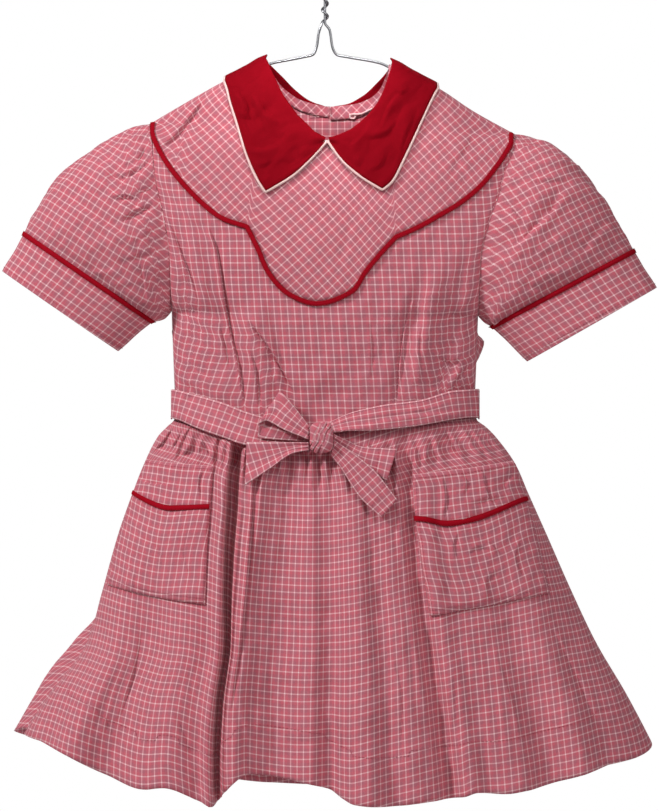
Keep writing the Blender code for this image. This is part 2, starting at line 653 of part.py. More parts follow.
def back_half(side):
    """Half of the back bodice, from the side to the centre back."""
    lap = BACK_LAP if side == "right" else 0
    centre = LAP_EDGE - lap
    count = BACK_COLUMNS
    share = np.linspace(0, 1, count + 1)
    shoulder = (-153.6, -50.5) if side == "left" else (166.6, 56.8)
    inward = np.linspace(*shoulder, count - NECK_COLUMNS + 1)
    neck_x = shoulder[1] + (centre - shoulder[1]) * np.linspace(0, 1, NECK_COLUMNS + 1)[1:] ** 1.5
    top_x = np.concatenate([inward, neck_x])
    top = smooth(SHOULDER["x"], SHOULDER["down"], top_x)
    top[-NECK_COLUMNS:] = smooth(BACK_NECK["x"], BACK_NECK["down"], neck_x)
    edge = -132 if side == "left" else 132
    waist_x = edge + (centre - edge) * share
    waist = np.full(count + 1, BACK_WAIST - GAP / 2)
    arm = arm_row(side, np.array((0, 3, 12) + ARM_ANGLES[3:]))
    rows = np.concatenate([arm, np.linspace(arm[-1], waist[0], 6)[1:]])
    fall = ((rows - rows[0]) / (rows[-1] - rows[0]))[:, None]
    down = top + (waist - top) * fall
    to_centre_top = (top_x - side_edge(top, side)) / (centre - side_edge(top, side))
    across = to_centre_top + (share - to_centre_top) * fall
    across[:, 0] = 0
    x = side_edge(down, side) + (centre - side_edge(down, side)) * across
    out = body_depth(x, down, "back")
    if side == "right":
        out += lap_rise(x)
    x, down, out = side_strips((x, down, out), ((0, side),))
    return place(swing(x, down), down, clean(out), "back")


def lap_rise(x):
    """How far the right back stands out where it laps the left."""
    return (WALL + GAP + LAY) * smooth((LAP_EDGE, 22, 40), (1, 0.15, 0), x)


def moved(grid, distance):
    """A grid's points moved square to its surface, to the left of rows by columns."""
    down_rows = np.gradient(grid, axis=0)
    over_columns = np.gradient(grid, axis=1)
    normal = np.cross(down_rows, over_columns)
    return grid + distance * normal / np.linalg.norm(normal, axis=-1, keepdims=True)


def make_back():
    """The two halves, and the bias facing made from their points at the neck."""
    for side, sign in (("left", 1), ("right", -1)):
        half = back_half(side)
        sheet(f"bodice_back_{side}", half, ROSE, flip=side == "left")
        inside = moved(half[:FACING_ROWS], sign * (WALL + GAP + 0.1))
        facing = inside[:, -NECK_COLUMNS:]
        if side == "right":
            facing = facing[:, :-1]
            last, before = facing[:, -1].copy(), facing[:, -2]
            share = (before[:, :1] - LAP_EDGE - 2 * GAP) / (before[:, :1] - last[:, :1])
            facing[:, -1] = before + (last - before) * share
        sheet(f"neck_facing_{side}", facing, ROSE, wall=0.8, flip=side == "left")


def collar_surface(side, across, extra=0.0):
    """The collar at a share across it, at each of its stations."""
    table = COLLAR[side]
    across = np.asarray(across, float)[:, None]
    x = table["neck_x"] + (table["outer_x"] - table["neck_x"]) * across
    down = table["neck"] + (table["outer"] - table["neck"]) * across
    out = smooth(COLLAR_ROLL["across"], COLLAR_ROLL["out"], across[:, 0])[:, None] + extra + 0 * x
    front = on_body(x, down, out, "front")
    back = on_body(x, down, out + WALL, "back")
    ridge_down = smooth(SHOULDER["x"], SHOULDER["down"], x) - out - 0.6
    ridge = place(x, ridge_down, 0.0, "front")
    face = table["face"][None, :, None]
    return np.where(face > 0, front, np.where(face < 0, back, ridge))


def make_collars():
    for side in ("left", "right"):
        grid = collar_surface(side, (0, 0.15, 0.4, 0.7, 1))
        sheet(f"collar_{side}", grid, RED, wall=COLLAR_WALL, flip=side == "right")
        edge = collar_surface(side, (1.0, 1.1))
        run = np.gradient(edge[0], axis=0)
        run /= np.linalg.norm(run, axis=-1, keepdims=True)
        outward = edge[1] - edge[0]
        outward -= run * np.sum(outward * run, axis=-1, keepdims=True)
        outward /= np.linalg.norm(outward, axis=-1, keepdims=True)
        points = edge[0] + outward * (PIPING_RADIUS + GAP + 0.2)
        wire(f"collar_piping_{side}", points, PIPING_RADIUS, PALE, 0.8)


def sleeve_ring(side, row, angles, out=0.0):
    """One section of a sleeve, front half first, from the top and round."""
    table = SLEEVES[side]
    count = len(table["top"])
    steps = np.arange(count)
    top_x, top, bottom_x, bottom, depth = (
        float(smooth(steps, table[name], row)) for name in ("top_x", "top", "bottom_x", "bottom", "depth"))
    turn = np.radians(angles)
    x = (top_x + bottom_x) / 2 + (top_x - bottom_x) / 2 * np.cos(turn)
    down = (top + bottom) / 2 + (top - bottom) / 2 * np.cos(turn)
    front = depth * np.sin(turn)
    blend = max(0.0, 1 - row / 2) ** 2
    if blend > 0:
        on_arm = arm_line(side, arm_row(side, np.asarray(angles)))
        x = x + (on_arm - straight_arm(side, turn)) * blend
    length = np.hypot(top_x - bottom_x, top - bottom) / 2
    cap = 0.5 + 0.5 * np.cos(turn)
    puff = CAP_GATHER * bump((row - 1.6) / 1.6) * cap * np.cos(turn * SLEEVE_COLUMNS / 2)
    reach = out + puff
    x = x + reach * np.cos(turn) * (top_x - bottom_x) / (2 * length)
    down = down + reach * np.cos(turn) * (top - bottom) / (2 * length)
    return np.stack([x, -(front + reach * np.sin(turn)), -down], axis=-1)


def straight_arm(side, turn):
    """The armhole's x if its line from top to bottom were straight."""
    table = SLEEVES[side]
    return (table["top_x"][0] + table["bottom_x"][0]) / 2 + (table["top_x"][0] - table["bottom_x"][0]) / 2 * np.cos(turn)


def make_sleeves():
    angles = np.arange(SLEEVE_COLUMNS) * 360 / SLEEVE_COLUMNS
    for side, sign in (("left", -1), ("right", 1)):
        flip = side == "right"
        rows = [sleeve_ring(side, row, angles) for row in (0, 0.7, 1.4, 2.2, 3.2, 4.4, 5.7, CUFF_SEAM - 0.12, CUFF_SEAM - 0.01)]
        grid = np.stack(rows)
        grid[0, :, 0] += sign * GAP
        sheet(f"sleeve_{side}", grid, ROSE, flip=flip, ring=True)
        rows = [CUFF_SEAM + part for part in (0.01, 0.055, 0.5, 1)]
        cuff = np.stack([sleeve_ring(side, row, angles) for row in rows])
        sheet(f"cuff_{side}", cuff, ROSE, flip=flip, ring=True)
        tape = np.stack([sleeve_ring(side, row, angles, WALL + LAY + 0.15)
                         for row in (CUFF_SEAM - 0.12, CUFF_SEAM, CUFF_SEAM + 0.055)])
        sheet(f"cuff_trim_{side}", tape, RED, flip=flip, ring=True)


def make_skirts():
    levels = (0, 0.26, 0.38, 0.5, 0.75, 1, 1.5, 2, 2.5, 3, 3.35, 3.7, 4)
    x, down, out = skirt_front(with_edges(SKIRT_COLUMNS), levels)
    down[0] += GAP / 2
    sheet("skirt_front", place(x, down, clean(out), "front"), ROSE)
    levels = (0, 0.23, 0.34, 0.5, 0.75, 1, 2, 3, 3.5, 4)
    x, down, out = skirt_back(with_edges(BACK_SKIRT_COLUMNS), levels)
    down[0] += GAP / 2
    sheet("skirt_back", place(x, down, clean(out), "back"), ROSE, flip=True)


def with_edges(count):
    """Whole columns, with one more close to each side seam."""
    return np.concatenate([[0, 0.35], np.arange(1, count), [count - 0.35, count]])


def make_pockets():
    """Pockets, bands and tapes, made from the skirt's own points moved out."""
    for side, first, last in (("left", 3, 15), ("right", 44, 57)):
        column = np.arange(first, last + 1)
        rise = GAP + 0.2 + WALL
        above, below = 2 - 0.065, 2 + 0.028
        band = lifted(skirt_front, column, (1, 1.5, above, 1.998), rise, "front")
        sheet(f"pocket_band_{side}", band, ROSE)
        pocket = lifted(skirt_front, column, (2.004, below, 2.5, 3), rise, "front")
        sheet(f"pocket_{side}", pocket, ROSE)
        tape = lifted(skirt_front, column, (above, 2, below), rise + GAP + WALL, "front")
        sheet(f"pocket_trim_{side}", tape, RED)


def belt_edge(table, name, outward):
    """One edge of the belt across half of the front."""
    x, down = table["x"], table[name]
    return on_body(x, down, outward, "front")


def make_belt():
    """One strip from the knot round the back to the knot again."""
    halves = {}
    for side in ("left", "right"):
        edge_outs = (("upper", BELT_OUT), ("lower", BELT_LOWER_OUT))
        halves[side] = [belt_edge(BELT[side], name, out) for name, out in edge_outs]
    side_x = {"left": -132.0 - BELT_OUT, "right": 132.6 + BELT_OUT}
    back_x = np.array([-131.3, -127, -115, -90, -60, -38, -16, 0, 16, 38, 60, 90, 115, 127, 131.3])
    edges = []
    for index, down in enumerate((409, 435)):
        left = halves["left"][index]
        right = halves["right"][index]
        turn_left = np.array([[side_x["left"], 0, -down]])
        turn_right = np.array([[side_x["right"], 0, -down]])
        out = (BELT_OUT, BELT_LOWER_OUT)[index] + lap_rise(np.abs(back_x + 5) - 8)
        back = on_body(back_x, np.full(len(back_x), float(down)), out, "back")
        edges.append(np.vstack([left, turn_left, back, turn_right, right[::-1]]))
    middle = (edges[0] + edges[1]) / 2
    sheet("belt", np.stack([edges[0], middle, edges[1]]), ROSE, flip=True)


def bow_point(x, down, out):
    """A point that stands out from the body at the waist, in front."""
    return np.array([x, -(float(body_depth(x, down, "front")) + out), -down])


def make_bow():
    for name, table in BOW.items():
        rows = []
        for x1, d1, o1, x2, d2, o2 in zip(*table.values()):
            first, second = bow_point(x1, d1, o1), bow_point(x2, d2, o2)
            rows.append([first, first * 0.5 + second * 0.5, second])
        sheet(name, np.array(rows).transpose(1, 0, 2), ROSE)
    make_knot()


def make_knot():
    """The wrapped knot as a rounded block."""
    bpy.ops.mesh.primitive_uv_sphere_add(segments=14, ring_count=8, radius=1)
    knot = bpy.context.object
    mesh = knot.data
    centre = bow_point(KNOT_X, KNOT_DOWN, KNOT_OUT)
    for vertex in mesh.vertices:
        spot = np.array(vertex.co)
        squared = np.sign(spot) * np.abs(spot) ** KNOT_POWER
        vertex.co = (centre + squared * KNOT_SIZE) * MM
    mesh.shade_smooth()
    bpy.data.objects.remove(knot)
    put("belt_knot", mesh, parts, ROSE)


def make_buttons():
    """Small buttons down the lapped back opening."""
    for number, down in enumerate(BUTTON_DOWNS, 1):
        base = on_body(BUTTON_X, float(down), 0.0, "back")
        raised = on_body(BUTTON_X, float(down), 1.0, "back")
        normal = raised - base
        lap = WALL + GAP + LAY
        centre = base + normal * (lap + GAP + 0.2 + BUTTON_THICK / 2)
        bpy.ops.mesh.primitive_cylinder_add(vertices=20, radius=BUTTON_RADIUS * MM, depth=BUTTON_THICK * MM)
        button = bpy.context.object
        mesh = button.data
        bpy.data.objects.remove(button)
        piece = put(f"button_{number}", mesh, parts, PALE, 0.35)
        piece.location = centre * MM
        tilt = math.atan2(normal[1], normal[2])
        piece.rotation_euler = (-tilt, 0, 0)


def make_hanger():
    """One wire: hook, straight neck, two arms and a bar, its end twisted up the neck."""
    middle = HOOK_RADIUS + WIRE_RADIUS
    start = math.radians(215)
    turns = np.linspace(start, math.radians(-40), 22)
    points = [(middle * math.cos(a), 0, middle * math.sin(a) - HOOK_RADIUS) for a in turns]
    foot_x, _, foot_z = points[-1]
    for share in (0.35, 0.7):
        points.append((foot_x * (1 - share) ** 2, 0, foot_z - 14 * share))
    points.append((0, 0, -TWIST_TOP + 4))
    points.append((0, 0, -TWIST_FOOT))
    arm_x, arm_down = HANGER["x"], HANGER["down"]
    points += [(x, 0, -down) for x, down in zip(arm_x, arm_down)]
    spread = 2 * WIRE_RADIUS + GAP + 0.15
    for angle, down in twist_steps():
        points.append((-spread * math.cos(angle), spread * math.sin(angle), -down))
    wire("hanger_wire", points, WIRE_RADIUS, STEEL, 0.35, 1.0)


def twist_steps():
    """Angles and heights of the wire's end as it winds up the neck."""
    count = TWIST_TURNS * 8
    for step in range(count + 1):
        share = step / count
        yield 2 * math.pi * TWIST_TURNS * share, TWIST_FOOT + (TWIST_TOP - TWIST_FOOT) * share


ROSE = (0.55, 0.12, 0.17)
RED = (0.48, 0.004, 0.02)
PALE = (0.85, 0.72, 0.70)
STEEL = (0.45, 0.45, 0.46)

for old in list(bpy.data.objects):
    bpy.data.objects.remove(old, do_unlink=True)
parts = bpy.data.collections.new("school_uniform_dress")
bpy.context.scene.collection.children.link(parts)

make_yoke_and_bodice()
make_back()
make_collars()
make_sleeves()
make_skirts()
make_pockets()
make_belt()
make_bow()
make_buttons()
make_hanger()
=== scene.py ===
# %% [markdown]
# # A school dress on a wire hanger
# This lesson dresses a measured frame with real-looking cloth. The frame is the plain
# solid model of the garment: every panel is there, at its true size, but as a coarse wall.
# Here each panel is drawn again from the same measures with many more points, so that
# gathers, tucks and creases can turn smoothly, and each gets its own woven finish.
# Another way would be to subdivide the frame's walls. That only rounds their corners,
# while working from the measures puts every fold where the maker's cloth has it.

# %% Load the frame
import math

import bpy
import numpy as np
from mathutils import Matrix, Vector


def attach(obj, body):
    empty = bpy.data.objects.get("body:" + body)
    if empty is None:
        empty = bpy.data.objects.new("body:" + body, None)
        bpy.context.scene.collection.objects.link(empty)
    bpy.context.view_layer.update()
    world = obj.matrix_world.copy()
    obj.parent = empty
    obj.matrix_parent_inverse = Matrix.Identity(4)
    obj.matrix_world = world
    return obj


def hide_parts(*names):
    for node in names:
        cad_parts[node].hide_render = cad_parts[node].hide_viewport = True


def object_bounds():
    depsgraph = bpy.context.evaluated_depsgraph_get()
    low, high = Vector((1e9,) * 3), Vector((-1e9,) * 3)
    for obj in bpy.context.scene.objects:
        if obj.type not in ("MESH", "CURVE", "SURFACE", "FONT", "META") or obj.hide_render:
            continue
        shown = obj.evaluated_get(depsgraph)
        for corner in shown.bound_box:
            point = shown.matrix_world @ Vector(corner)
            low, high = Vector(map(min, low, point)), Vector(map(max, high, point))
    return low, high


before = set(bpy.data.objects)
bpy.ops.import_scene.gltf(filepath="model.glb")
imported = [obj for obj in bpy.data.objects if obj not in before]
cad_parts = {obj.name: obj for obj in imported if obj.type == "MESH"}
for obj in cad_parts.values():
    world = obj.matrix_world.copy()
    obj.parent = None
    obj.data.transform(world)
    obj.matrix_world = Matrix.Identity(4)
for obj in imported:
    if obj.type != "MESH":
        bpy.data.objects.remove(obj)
cad_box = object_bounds()
print("frame box", [[round(float(v), 3) for v in corner] for corner in cad_box])
scene = bpy.context.scene

# %% [markdown]
# ## Camera
# The dress is seen straight from the front and from far off, so a long lens a few metres
# away keeps its outline almost parallel. The sensor's long side is the picture's height.

# %% Camera
def add(name, data):
    """A new object in the scene."""
    made = bpy.data.objects.new(name, data)
    scene.collection.objects.link(made)
    return made


PICTURE_HEIGHT = 0.7137       # metres of garment that the picture's height takes in
PICTURE_MIDDLE = (0.004, -0.4228)
CAMERA_AWAY = 4.0
SENSOR_LONG = 36.0            # millimetres
lens = bpy.data.cameras.new("camera")
lens.sensor_width = SENSOR_LONG
lens.lens = SENSOR_LONG * CAMERA_AWAY / PICTURE_HEIGHT
camera = add("camera", lens)
camera.location = (PICTURE_MIDDLE[0], -CAMERA_AWAY, PICTURE_MIDDLE[1])
camera.rotation_euler = (math.radians(90), 0, 0)
scene.camera = camera
print("lens", round(lens.lens, 1), "mm")

# %% [markdown]
# ## Light, floor and background
# A garment on a plain background is lit by large soft lamps. One stands high at the left,
# a weaker one fills from the right, and one from above draws the folds. The world is a pale
# grey that also lights the shadows. The floor lies below the hem, out of the front view.

# %% Lamps
def lamp(name, place, size, power, aim=(0, 0, -0.42)):
    """A square lamp that faces the point it aims at."""
    data = bpy.data.lights.new(name, "AREA")
    data.size = size
    data.energy = power
    piece = add(name, data)
    piece.location = place
    toward = np.array(aim) - np.array(place)
    tilt = math.atan2(math.hypot(toward[0], toward[1]), -toward[2])
    piece.rotation_euler = (tilt, 0, math.atan2(toward[1], toward[0]) - math.pi / 2)
    return piece


lamp("key_lamp", (-1.95, -1.2, 1.15), 0.4, 55, aim=(0, 0, -0.3))
lamp("fill_lamp", (2.0, -1.9, 0.7), 1.4, 17)
lamp("top_lamp", (0.05, -0.62, 0.26), 0.4, 2.3, aim=(0, 0, -0.2))
lamp("back_lamp", (0.5, 2.4, 0.6), 1.6, 20)
neck_lamp = lamp("neck_lamp", (0.0, -0.30, 0.12), 0.05, 0.05, aim=(0, 0.02, -0.17))
neck_lamp.data.spread = math.radians(32)
print("lamps", len(bpy.data.lights))

# %% Floor and background
FLOOR_BELOW = 0.10
FLOOR_HALF = 1.0
floor_mesh = bpy.data.meshes.new("floor")
turn = np.linspace(0, 2 * math.pi, 97)[:-1]
floor_down = float(cad_box[0][2]) - FLOOR_BELOW
rim = [(FLOOR_HALF * math.cos(a), FLOOR_HALF * math.sin(a), floor_down) for a in turn]
floor_mesh.from_pydata(rim, [], [tuple(range(len(rim)))])
floor = add("floor", floor_mesh)

world = bpy.data.worlds.new("studio")
scene.world = world
world.use_nodes = True
backdrop = world.node_tree.nodes["Background"]
backdrop.inputs["Color"].default_value = (0.97, 0.97, 0.97, 1)
backdrop.inputs["Strength"].default_value = 0.12
seen = world.node_tree.nodes.new("ShaderNodeBackground")
seen.inputs["Color"].default_value = (1, 1, 1, 1)
either = world.node_tree.nodes.new("ShaderNodeMixShader")
eye = world.node_tree.nodes.new("ShaderNodeLightPath")
link = world.node_tree.links.new
link(eye.outputs["Is Camera Ray"], either.inputs["Fac"])
link(backdrop.outputs["Background"], either.inputs[1])
link(seen.outputs["Background"], either.inputs[2])
link(either.outputs["Shader"], world.node_tree.nodes["World Output"].inputs["Surface"])
scene.view_settings.view_transform = "Standard"
print("floor at", round(floor_down, 3))

# %% [markdown]
# ## Finishes
# The dress is yarn-dyed cotton. Its check is made by coloured threads, so it is drawn along
# the two thread directions: thin pale lines a quarter inch apart, and between them bands
# that alternate rose and a greyer mauve. Every panel carries a map named cloth that gives
# each point's place on the flat fabric, counted in check widths, so one finish serves the
# straight-cut skirt, the bias-cut yoke and the slanted sleeves. A picture could hold the
# check as well, but a node pattern stays sharp at any distance.

# %% Helpers for finishes
CHECK = 6.35                  # one check, in millimetres


def tint(red, green, blue):
    """A screen colour, 0 to 255, as the linear colour that shaders use."""
    parts = [v / 255 for v in (red, green, blue)]
    linear = [p / 12.92 if p <= 0.04045 else ((p + 0.055) / 1.055) ** 2.4 for p in parts]
    return (*linear, 1.0)


class Finish:
    """A material with short ways to add nodes."""

    def __init__(self, name, roughness, sheen=0.0, gloss=0.25):
        self.material = bpy.data.materials.new(name)
        self.material.use_nodes = True
        self.tree = self.material.node_tree
        self.shader = self.tree.nodes["Principled BSDF"]
        self.set("Roughness", roughness)
        self.set("Sheen Weight", sheen)
        self.set("Sheen Roughness", 0.5)
        self.set("Specular IOR Level", gloss)

    def set(self, name, value):
        self.shader.inputs[name].default_value = value

    def node(self, kind, **values):
        made = self.tree.nodes.new(kind)
        for key, value in values.items():
            setattr(made, key, value)
        return made

    def join(self, source, target):
        self.tree.links.new(source, target)

    def feed(self, socket, value):
        """Links a socket to another node's output, or sets it to a plain value."""
        if hasattr(value, "links"):
            self.join(value, socket)
        else:
            socket.default_value = value

    def math(self, operation, first, second=None):
        made = self.node("ShaderNodeMath", operation=operation)
        self.feed(made.inputs[0], first)
        if second is not None:
            self.feed(made.inputs[1], second)
        return made.outputs[0]

    def mean(self, first, second):
        return self.math("MULTIPLY", self.math("ADD", first, second), 0.5)

    def from_middle(self, where):
        """How far a place is from the middle of its own unit, nothing to a half."""
        inside = self.math("FRACT", where)
        return self.math("ABSOLUTE", self.math("SUBTRACT", inside, 0.5))

    def ramp(self, value, low, high, start=0.0, end=1.0):
        """Goes smoothly from start to end while the value goes from low to high."""
        made = self.node("ShaderNodeMapRange", interpolation_type="SMOOTHSTEP")
        names = ("Value", "From Min", "From Max", "To Min", "To Max")
        for name, number in zip(names, (value, low, high, start, end)):
            self.feed(made.inputs[name], number)
        return made.outputs["Result"]

    def blend(self, share, first, second):
        """The first colour where the share is nothing, the second where it is one."""
        made = self.node("ShaderNodeMix", data_type="RGBA")
        self.feed(made.inputs[0], share)
        self.feed(made.inputs[6], first)
        self.feed(made.inputs[7], second)
        return made.outputs[2]

    def place(self, stretch=(1, 1, 1)):
        """The point's place on the flat cloth, in checks."""
        uv = self.node("ShaderNodeUVMap", uv_map="cloth")
        grow = self.node("ShaderNodeMapping")
        self.join(uv.outputs["UV"], grow.inputs["Vector"])
        grow.inputs["Scale"].default_value = stretch
        return grow.outputs["Vector"]

    def noise(self, scale, detail=2.0, stretch=(1, 1, 1), rough=0.5):
        made = self.node("ShaderNodeTexNoise")
        self.join(self.place(stretch), made.inputs["Vector"])
        made.inputs["Scale"].default_value = scale
        made.inputs["Detail"].default_value = detail
        made.inputs["Roughness"].default_value = rough
        return made.outputs["Fac"]

    def threads(self, scale, long, short):
        """Uneven threads that cross: the noise is stretched along each of them."""
        across = self.noise(scale, 2, (long, short, 1))
        down = self.noise(scale, 2, (short, long, 1))
        return self.mean(across, down)

    def bump(self, height, strength, distance):
        made = self.node("ShaderNodeBump")
        made.inputs["Strength"].default_value = strength
        made.inputs["Distance"].default_value = distance
        self.join(height, made.inputs["Height"])
        self.join(made.outputs["Normal"], self.shader.inputs["Normal"])

    def colour(self, value):
        self.join(value, self.shader.inputs["Base Color"])


print("crimson in a shader's numbers", [round(v, 3) for v in tint(150, 2, 22)[:3]])

# %% The checked cotton
LINE_HALF = 0.085             # half a pale line's width, in checks
LINE_SOFT = 0.055
TONE_CHANGE = (0.22, 0.28)    # where one tone of a pair of bands gives way to the other


def check_finish(name, rose, mauve, line, crossing):
    finish = Finish(name, 0.88, sheen=0.12)
    parts = finish.node("ShaderNodeSeparateXYZ")
    finish.join(finish.place(), parts.inputs[0])
    lines, tones = [], []
    for where in parts.outputs[:2]:
        off = finish.from_middle(where)
        edge = 0.5 - LINE_HALF
        lines.append(finish.ramp(off, edge - LINE_SOFT, edge + LINE_SOFT))
        pair = finish.from_middle(finish.math("MULTIPLY", where, 0.5))
        tones.append(finish.ramp(pair, *TONE_CHANGE))
    ground = finish.blend(finish.mean(*tones), rose, mauve)
    # Uneven threads lighten the ground and break up the lines
    threads = finish.threads(9, 0.25, 5)
    pale_share = finish.ramp(threads, 0.35, 0.65, 0.0, 0.30)
    ground = finish.blend(pale_share, ground, tint(236, 150, 160))
    either_line = finish.math("MAXIMUM", *lines)
    strength = finish.math("MULTIPLY", either_line, finish.ramp(threads, 0.3, 0.7, 0.52, 0.82))
    lined = finish.blend(strength, ground, line)
    both = finish.math("MULTIPLY", *lines)
    lined = finish.blend(finish.math("MULTIPLY", both, 0.85), lined, crossing)
    # Wide faded patches, and a fine crinkle
    faded = finish.ramp(finish.noise(0.09, 3), 0.3, 0.7, 0.0, 0.10)
    finish.colour(finish.blend(faded, lined, tint(214, 130, 142)))
    crinkle = finish.noise(1.3, 3, rough=0.55)
    height = finish.math("ADD", finish.math("MULTIPLY", threads, 0.35), crinkle)
    finish.bump(height, 0.35, 0.0006)
    return finish.material


check_cotton = check_finish("check_cotton", rose=tint(191, 82, 98), mauve=tint(165, 89, 104),
                            line=tint(232, 176, 181), crossing=tint(248, 224, 224))
print("finish", check_cotton.name)

# %% [markdown]
# The collar and the tapes are plain crimson cotton. A plain weave shows as faint threads in
# two directions, a little lighter where the thread is thick. The piping is the same kind of
# cloth in a pale pink, wound round a cord.

# %% Plain cotton, piping and thread
def plain_finish(name, colour, lighter, thread, roughness, sheen=0.12, gloss=0.25):
    finish = Finish(name, roughness, sheen, gloss)
    threads = finish.threads(thread, 0.2, 4)
    worn = finish.ramp(finish.noise(0.35, 3), 0.35, 0.75, 0.0, 0.25)
    tone = finish.blend(finish.ramp(threads, 0.35, 0.65, 0.0, 0.5), colour, lighter)
    finish.colour(finish.blend(worn, tone, lighter))
    height = finish.math("ADD", threads, finish.math("MULTIPLY", finish.noise(1.1, 3), 0.8))
    finish.bump(height, 0.3, 0.0005)
    return finish.material


red_cotton = plain_finish("red_cotton", tint(127, 1, 16), tint(146, 6, 25), 8, 0.9, 0.0, 0.06)
red_tape = plain_finish("red_tape", tint(150, 2, 22), tint(176, 16, 38), 9, 0.9, 0.0, 0.08)
pale_piping = plain_finish("pale_piping", tint(236, 194, 190), tint(246, 220, 214), 6, 0.75)
pale_thread = plain_finish("pale_thread", tint(226, 178, 180), tint(244, 214, 212), 12, 0.7)
rose_thread = plain_finish("rose_thread", tint(176, 66, 88), tint(206, 106, 122), 12, 0.75)
red_thread = plain_finish("red_thread", tint(150, 6, 28), tint(196, 30, 54), 12, 0.7)
print("plain finishes", red_cotton.name, red_tape.name, pale_piping.name, pale_thread.name)

# %% Wire and button
wire_finish = Finish("drawn_wire", 0.34)
wire_finish.set("Metallic", 1.0)
streaks = wire_finish.noise(5, 3, (0.1, 6, 1))
wire_finish.colour(wire_finish.blend(streaks, tint(128, 128, 132), tint(186, 186, 190)))
wire_finish.bump(streaks, 0.15, 0.0002)
button_finish = Finish("pale_button", 0.3)
cloud = button_finish.noise(0.8, 3)
button_finish.colour(button_finish.blend(cloud, tint(226, 210, 200), tint(244, 234, 226)))
button_finish.bump(cloud, 0.05, 0.0001)
button_finish.set("Coat Weight", 0.25)
print("finishes", len(bpy.data.materials))

# %% [markdown]
# ## Measures
# The frame can't be asked for its folds, so the maker's measures are repeated here, in
# millimetres: x to the right, down from the hook, and out from the flat middle. Each table
# stands before the piece that it measures, and only the sampling is finer. A few rooms
# between pieces are smaller than in the frame, and the hem hangs a little less deep.

# %% Sizes that all panels share
MM = 0.001
WALL = 0.9                    # the cotton's wall
GAP = 0.3                     # room between two pieces at a seam
SEAM_HALF = 0.12              # half the room where two panels meet edge to edge
LAY = 0.9                     # room under a piece that lies on a curved panel
FINE = 6                      # points for each column of the frame's walls


def columns(names, rows):
    """A table with a named column for each measure."""
    return {name: np.array(values, float) for name, values in zip(names.split(), zip(*rows))}


print("walls of", WALL, "mm, seams", GAP, "mm apart")

# %% [markdown]
# ## Curves and surfaces
# A smooth curve through each table's points gives any place between them. It never swings
# past a point, which a plain spline would do at the yoke's cusps. The body's depth comes
# from a rounded cross-section whose width and depth change on the way down.

# %% Curves and distances
def smooth(xs, ys, x):
    """A curve through the points of a table that never overshoots them."""
    xs = np.asarray(xs, float)
    ys = np.asarray(ys, float)
    x = np.clip(np.asarray(x, float), xs[0], xs[-1])
    wide = (-1,) + (1,) * (ys.ndim - 1)
    step = np.diff(xs).reshape(wide)
    slope = np.diff(ys, axis=0) / step
    before, after = slope[:-1], slope[1:]
    same_way = before * after > 0
    inner = np.where(same_way, 2 * before * after / np.where(same_way, before + after, 1), 0)
    tangent = np.concatenate([slope[:1], inner, slope[-1:]])
    k = np.clip(np.searchsorted(xs, x, side="right") - 1, 0, len(xs) - 2)
    shape = x.shape + (1,) * (ys.ndim - 1)
    width = (xs[k + 1] - xs[k]).reshape(shape)
    t = (x - xs[k]).reshape(shape) / width
    rise = ys[k] * (1 + 2 * t) * (1 - t) ** 2 + ys[k + 1] * t * t * (3 - 2 * t)
    return rise + tangent[k] * width * t * (1 - t) ** 2 + tangent[k + 1] * width * t * t * (t - 1)


def finer(points, parts):
    """The same line as a smooth curve, with so many parts for each of its steps."""
    last = len(points) - 1
    return smooth(np.arange(last + 1), points, np.linspace(0, last, last * parts + 1))


def steps_of(points, axis=0):
    """How far each point is from the one before it."""
    return np.linalg.norm(np.diff(points, axis=axis), axis=-1)


def running(steps, axis=0):
    """How far each point is along the line, from nothing at the first."""
    return np.insert(np.cumsum(steps, axis=axis), 0, 0, axis=axis)


def unit(vectors):
    """The same directions, each of length one."""
    return vectors / np.linalg.norm(vectors, axis=-1, keepdims=True)


def along(table, t):
    """Points at shares t of the way along a table of x and down."""
    reach = running(np.hypot(np.diff(table["x"]), np.diff(table["down"])))
    return [smooth(reach / reach[-1], table[name], t) for name in ("x", "down")]


print("a quarter of the way from 0 to 8, smoothed:", smooth((0, 1, 2), (0, 5, 8), 0.5))

# %% The body's outline
SHOULDER_DROP = 70            # the cloth reaches its full depth this far below the shoulder
ARM_DEPTH = 29                # half an armhole's depth
SIDE_POWER = 2.4              # two for an oval section, more for a squarer one
# The outline at each height and its depth at the middle
BODY = columns("down left right front back", [
    (175, -154, 168.5, 29, 25),
    (193, -151.5, 165, 32, 28),
    (215, -149.5, 158, 34, 30),
    (236, -145.8, 152, 35, 31),
    (262, -140, 143, 36, 32),
    (294, -135.8, 136, 37, 33),
    (342, -134.8, 134.8, 36, 33),
    (392, -133, 133, 33, 31),
    (421, -132, 132, 31, 30),
    (435, -132.6, 133.4, 32, 31),
    (441, -138.5, 141, 35, 34),
    (450, -147, 150, 37, 36),
    (475, -159.6, 168, 42, 41),
    (499, -169, 178.5, 46, 44),
    (536, -182, 195, 52, 49),
    (586, -196, 217, 58, 55),
    (631, -209, 238.5, 63, 60),
    (677, -242, 265.5, 68, 64),
    (725, -273, 290.5, 72, 68),
    (785, -305, 318, 76, 72),
])
SHOULDER = columns("x down", [
    (-154, 175), (-127, 159), (-88, 137), (-50, 119.5), (0, 100), (48, 118.5), (61, 124.5),
    (99, 143), (131, 164), (167, 184),
])
# Top and bottom of each armhole
ARMHOLE = {"left": (175, 340), "right": (184, 344)}


def side_edge(down, side):
    return smooth(BODY["down"], BODY[side], down)


def arm_depth(down, side):
    """Half the armhole's depth at a height, nothing above or below it."""
    top, bottom = ARMHOLE[side]
    share = (down - (top + bottom) / 2) / ((bottom - top) / 2)
    return ARM_DEPTH * np.sqrt(np.clip(1 - share ** 2, 0, 1))


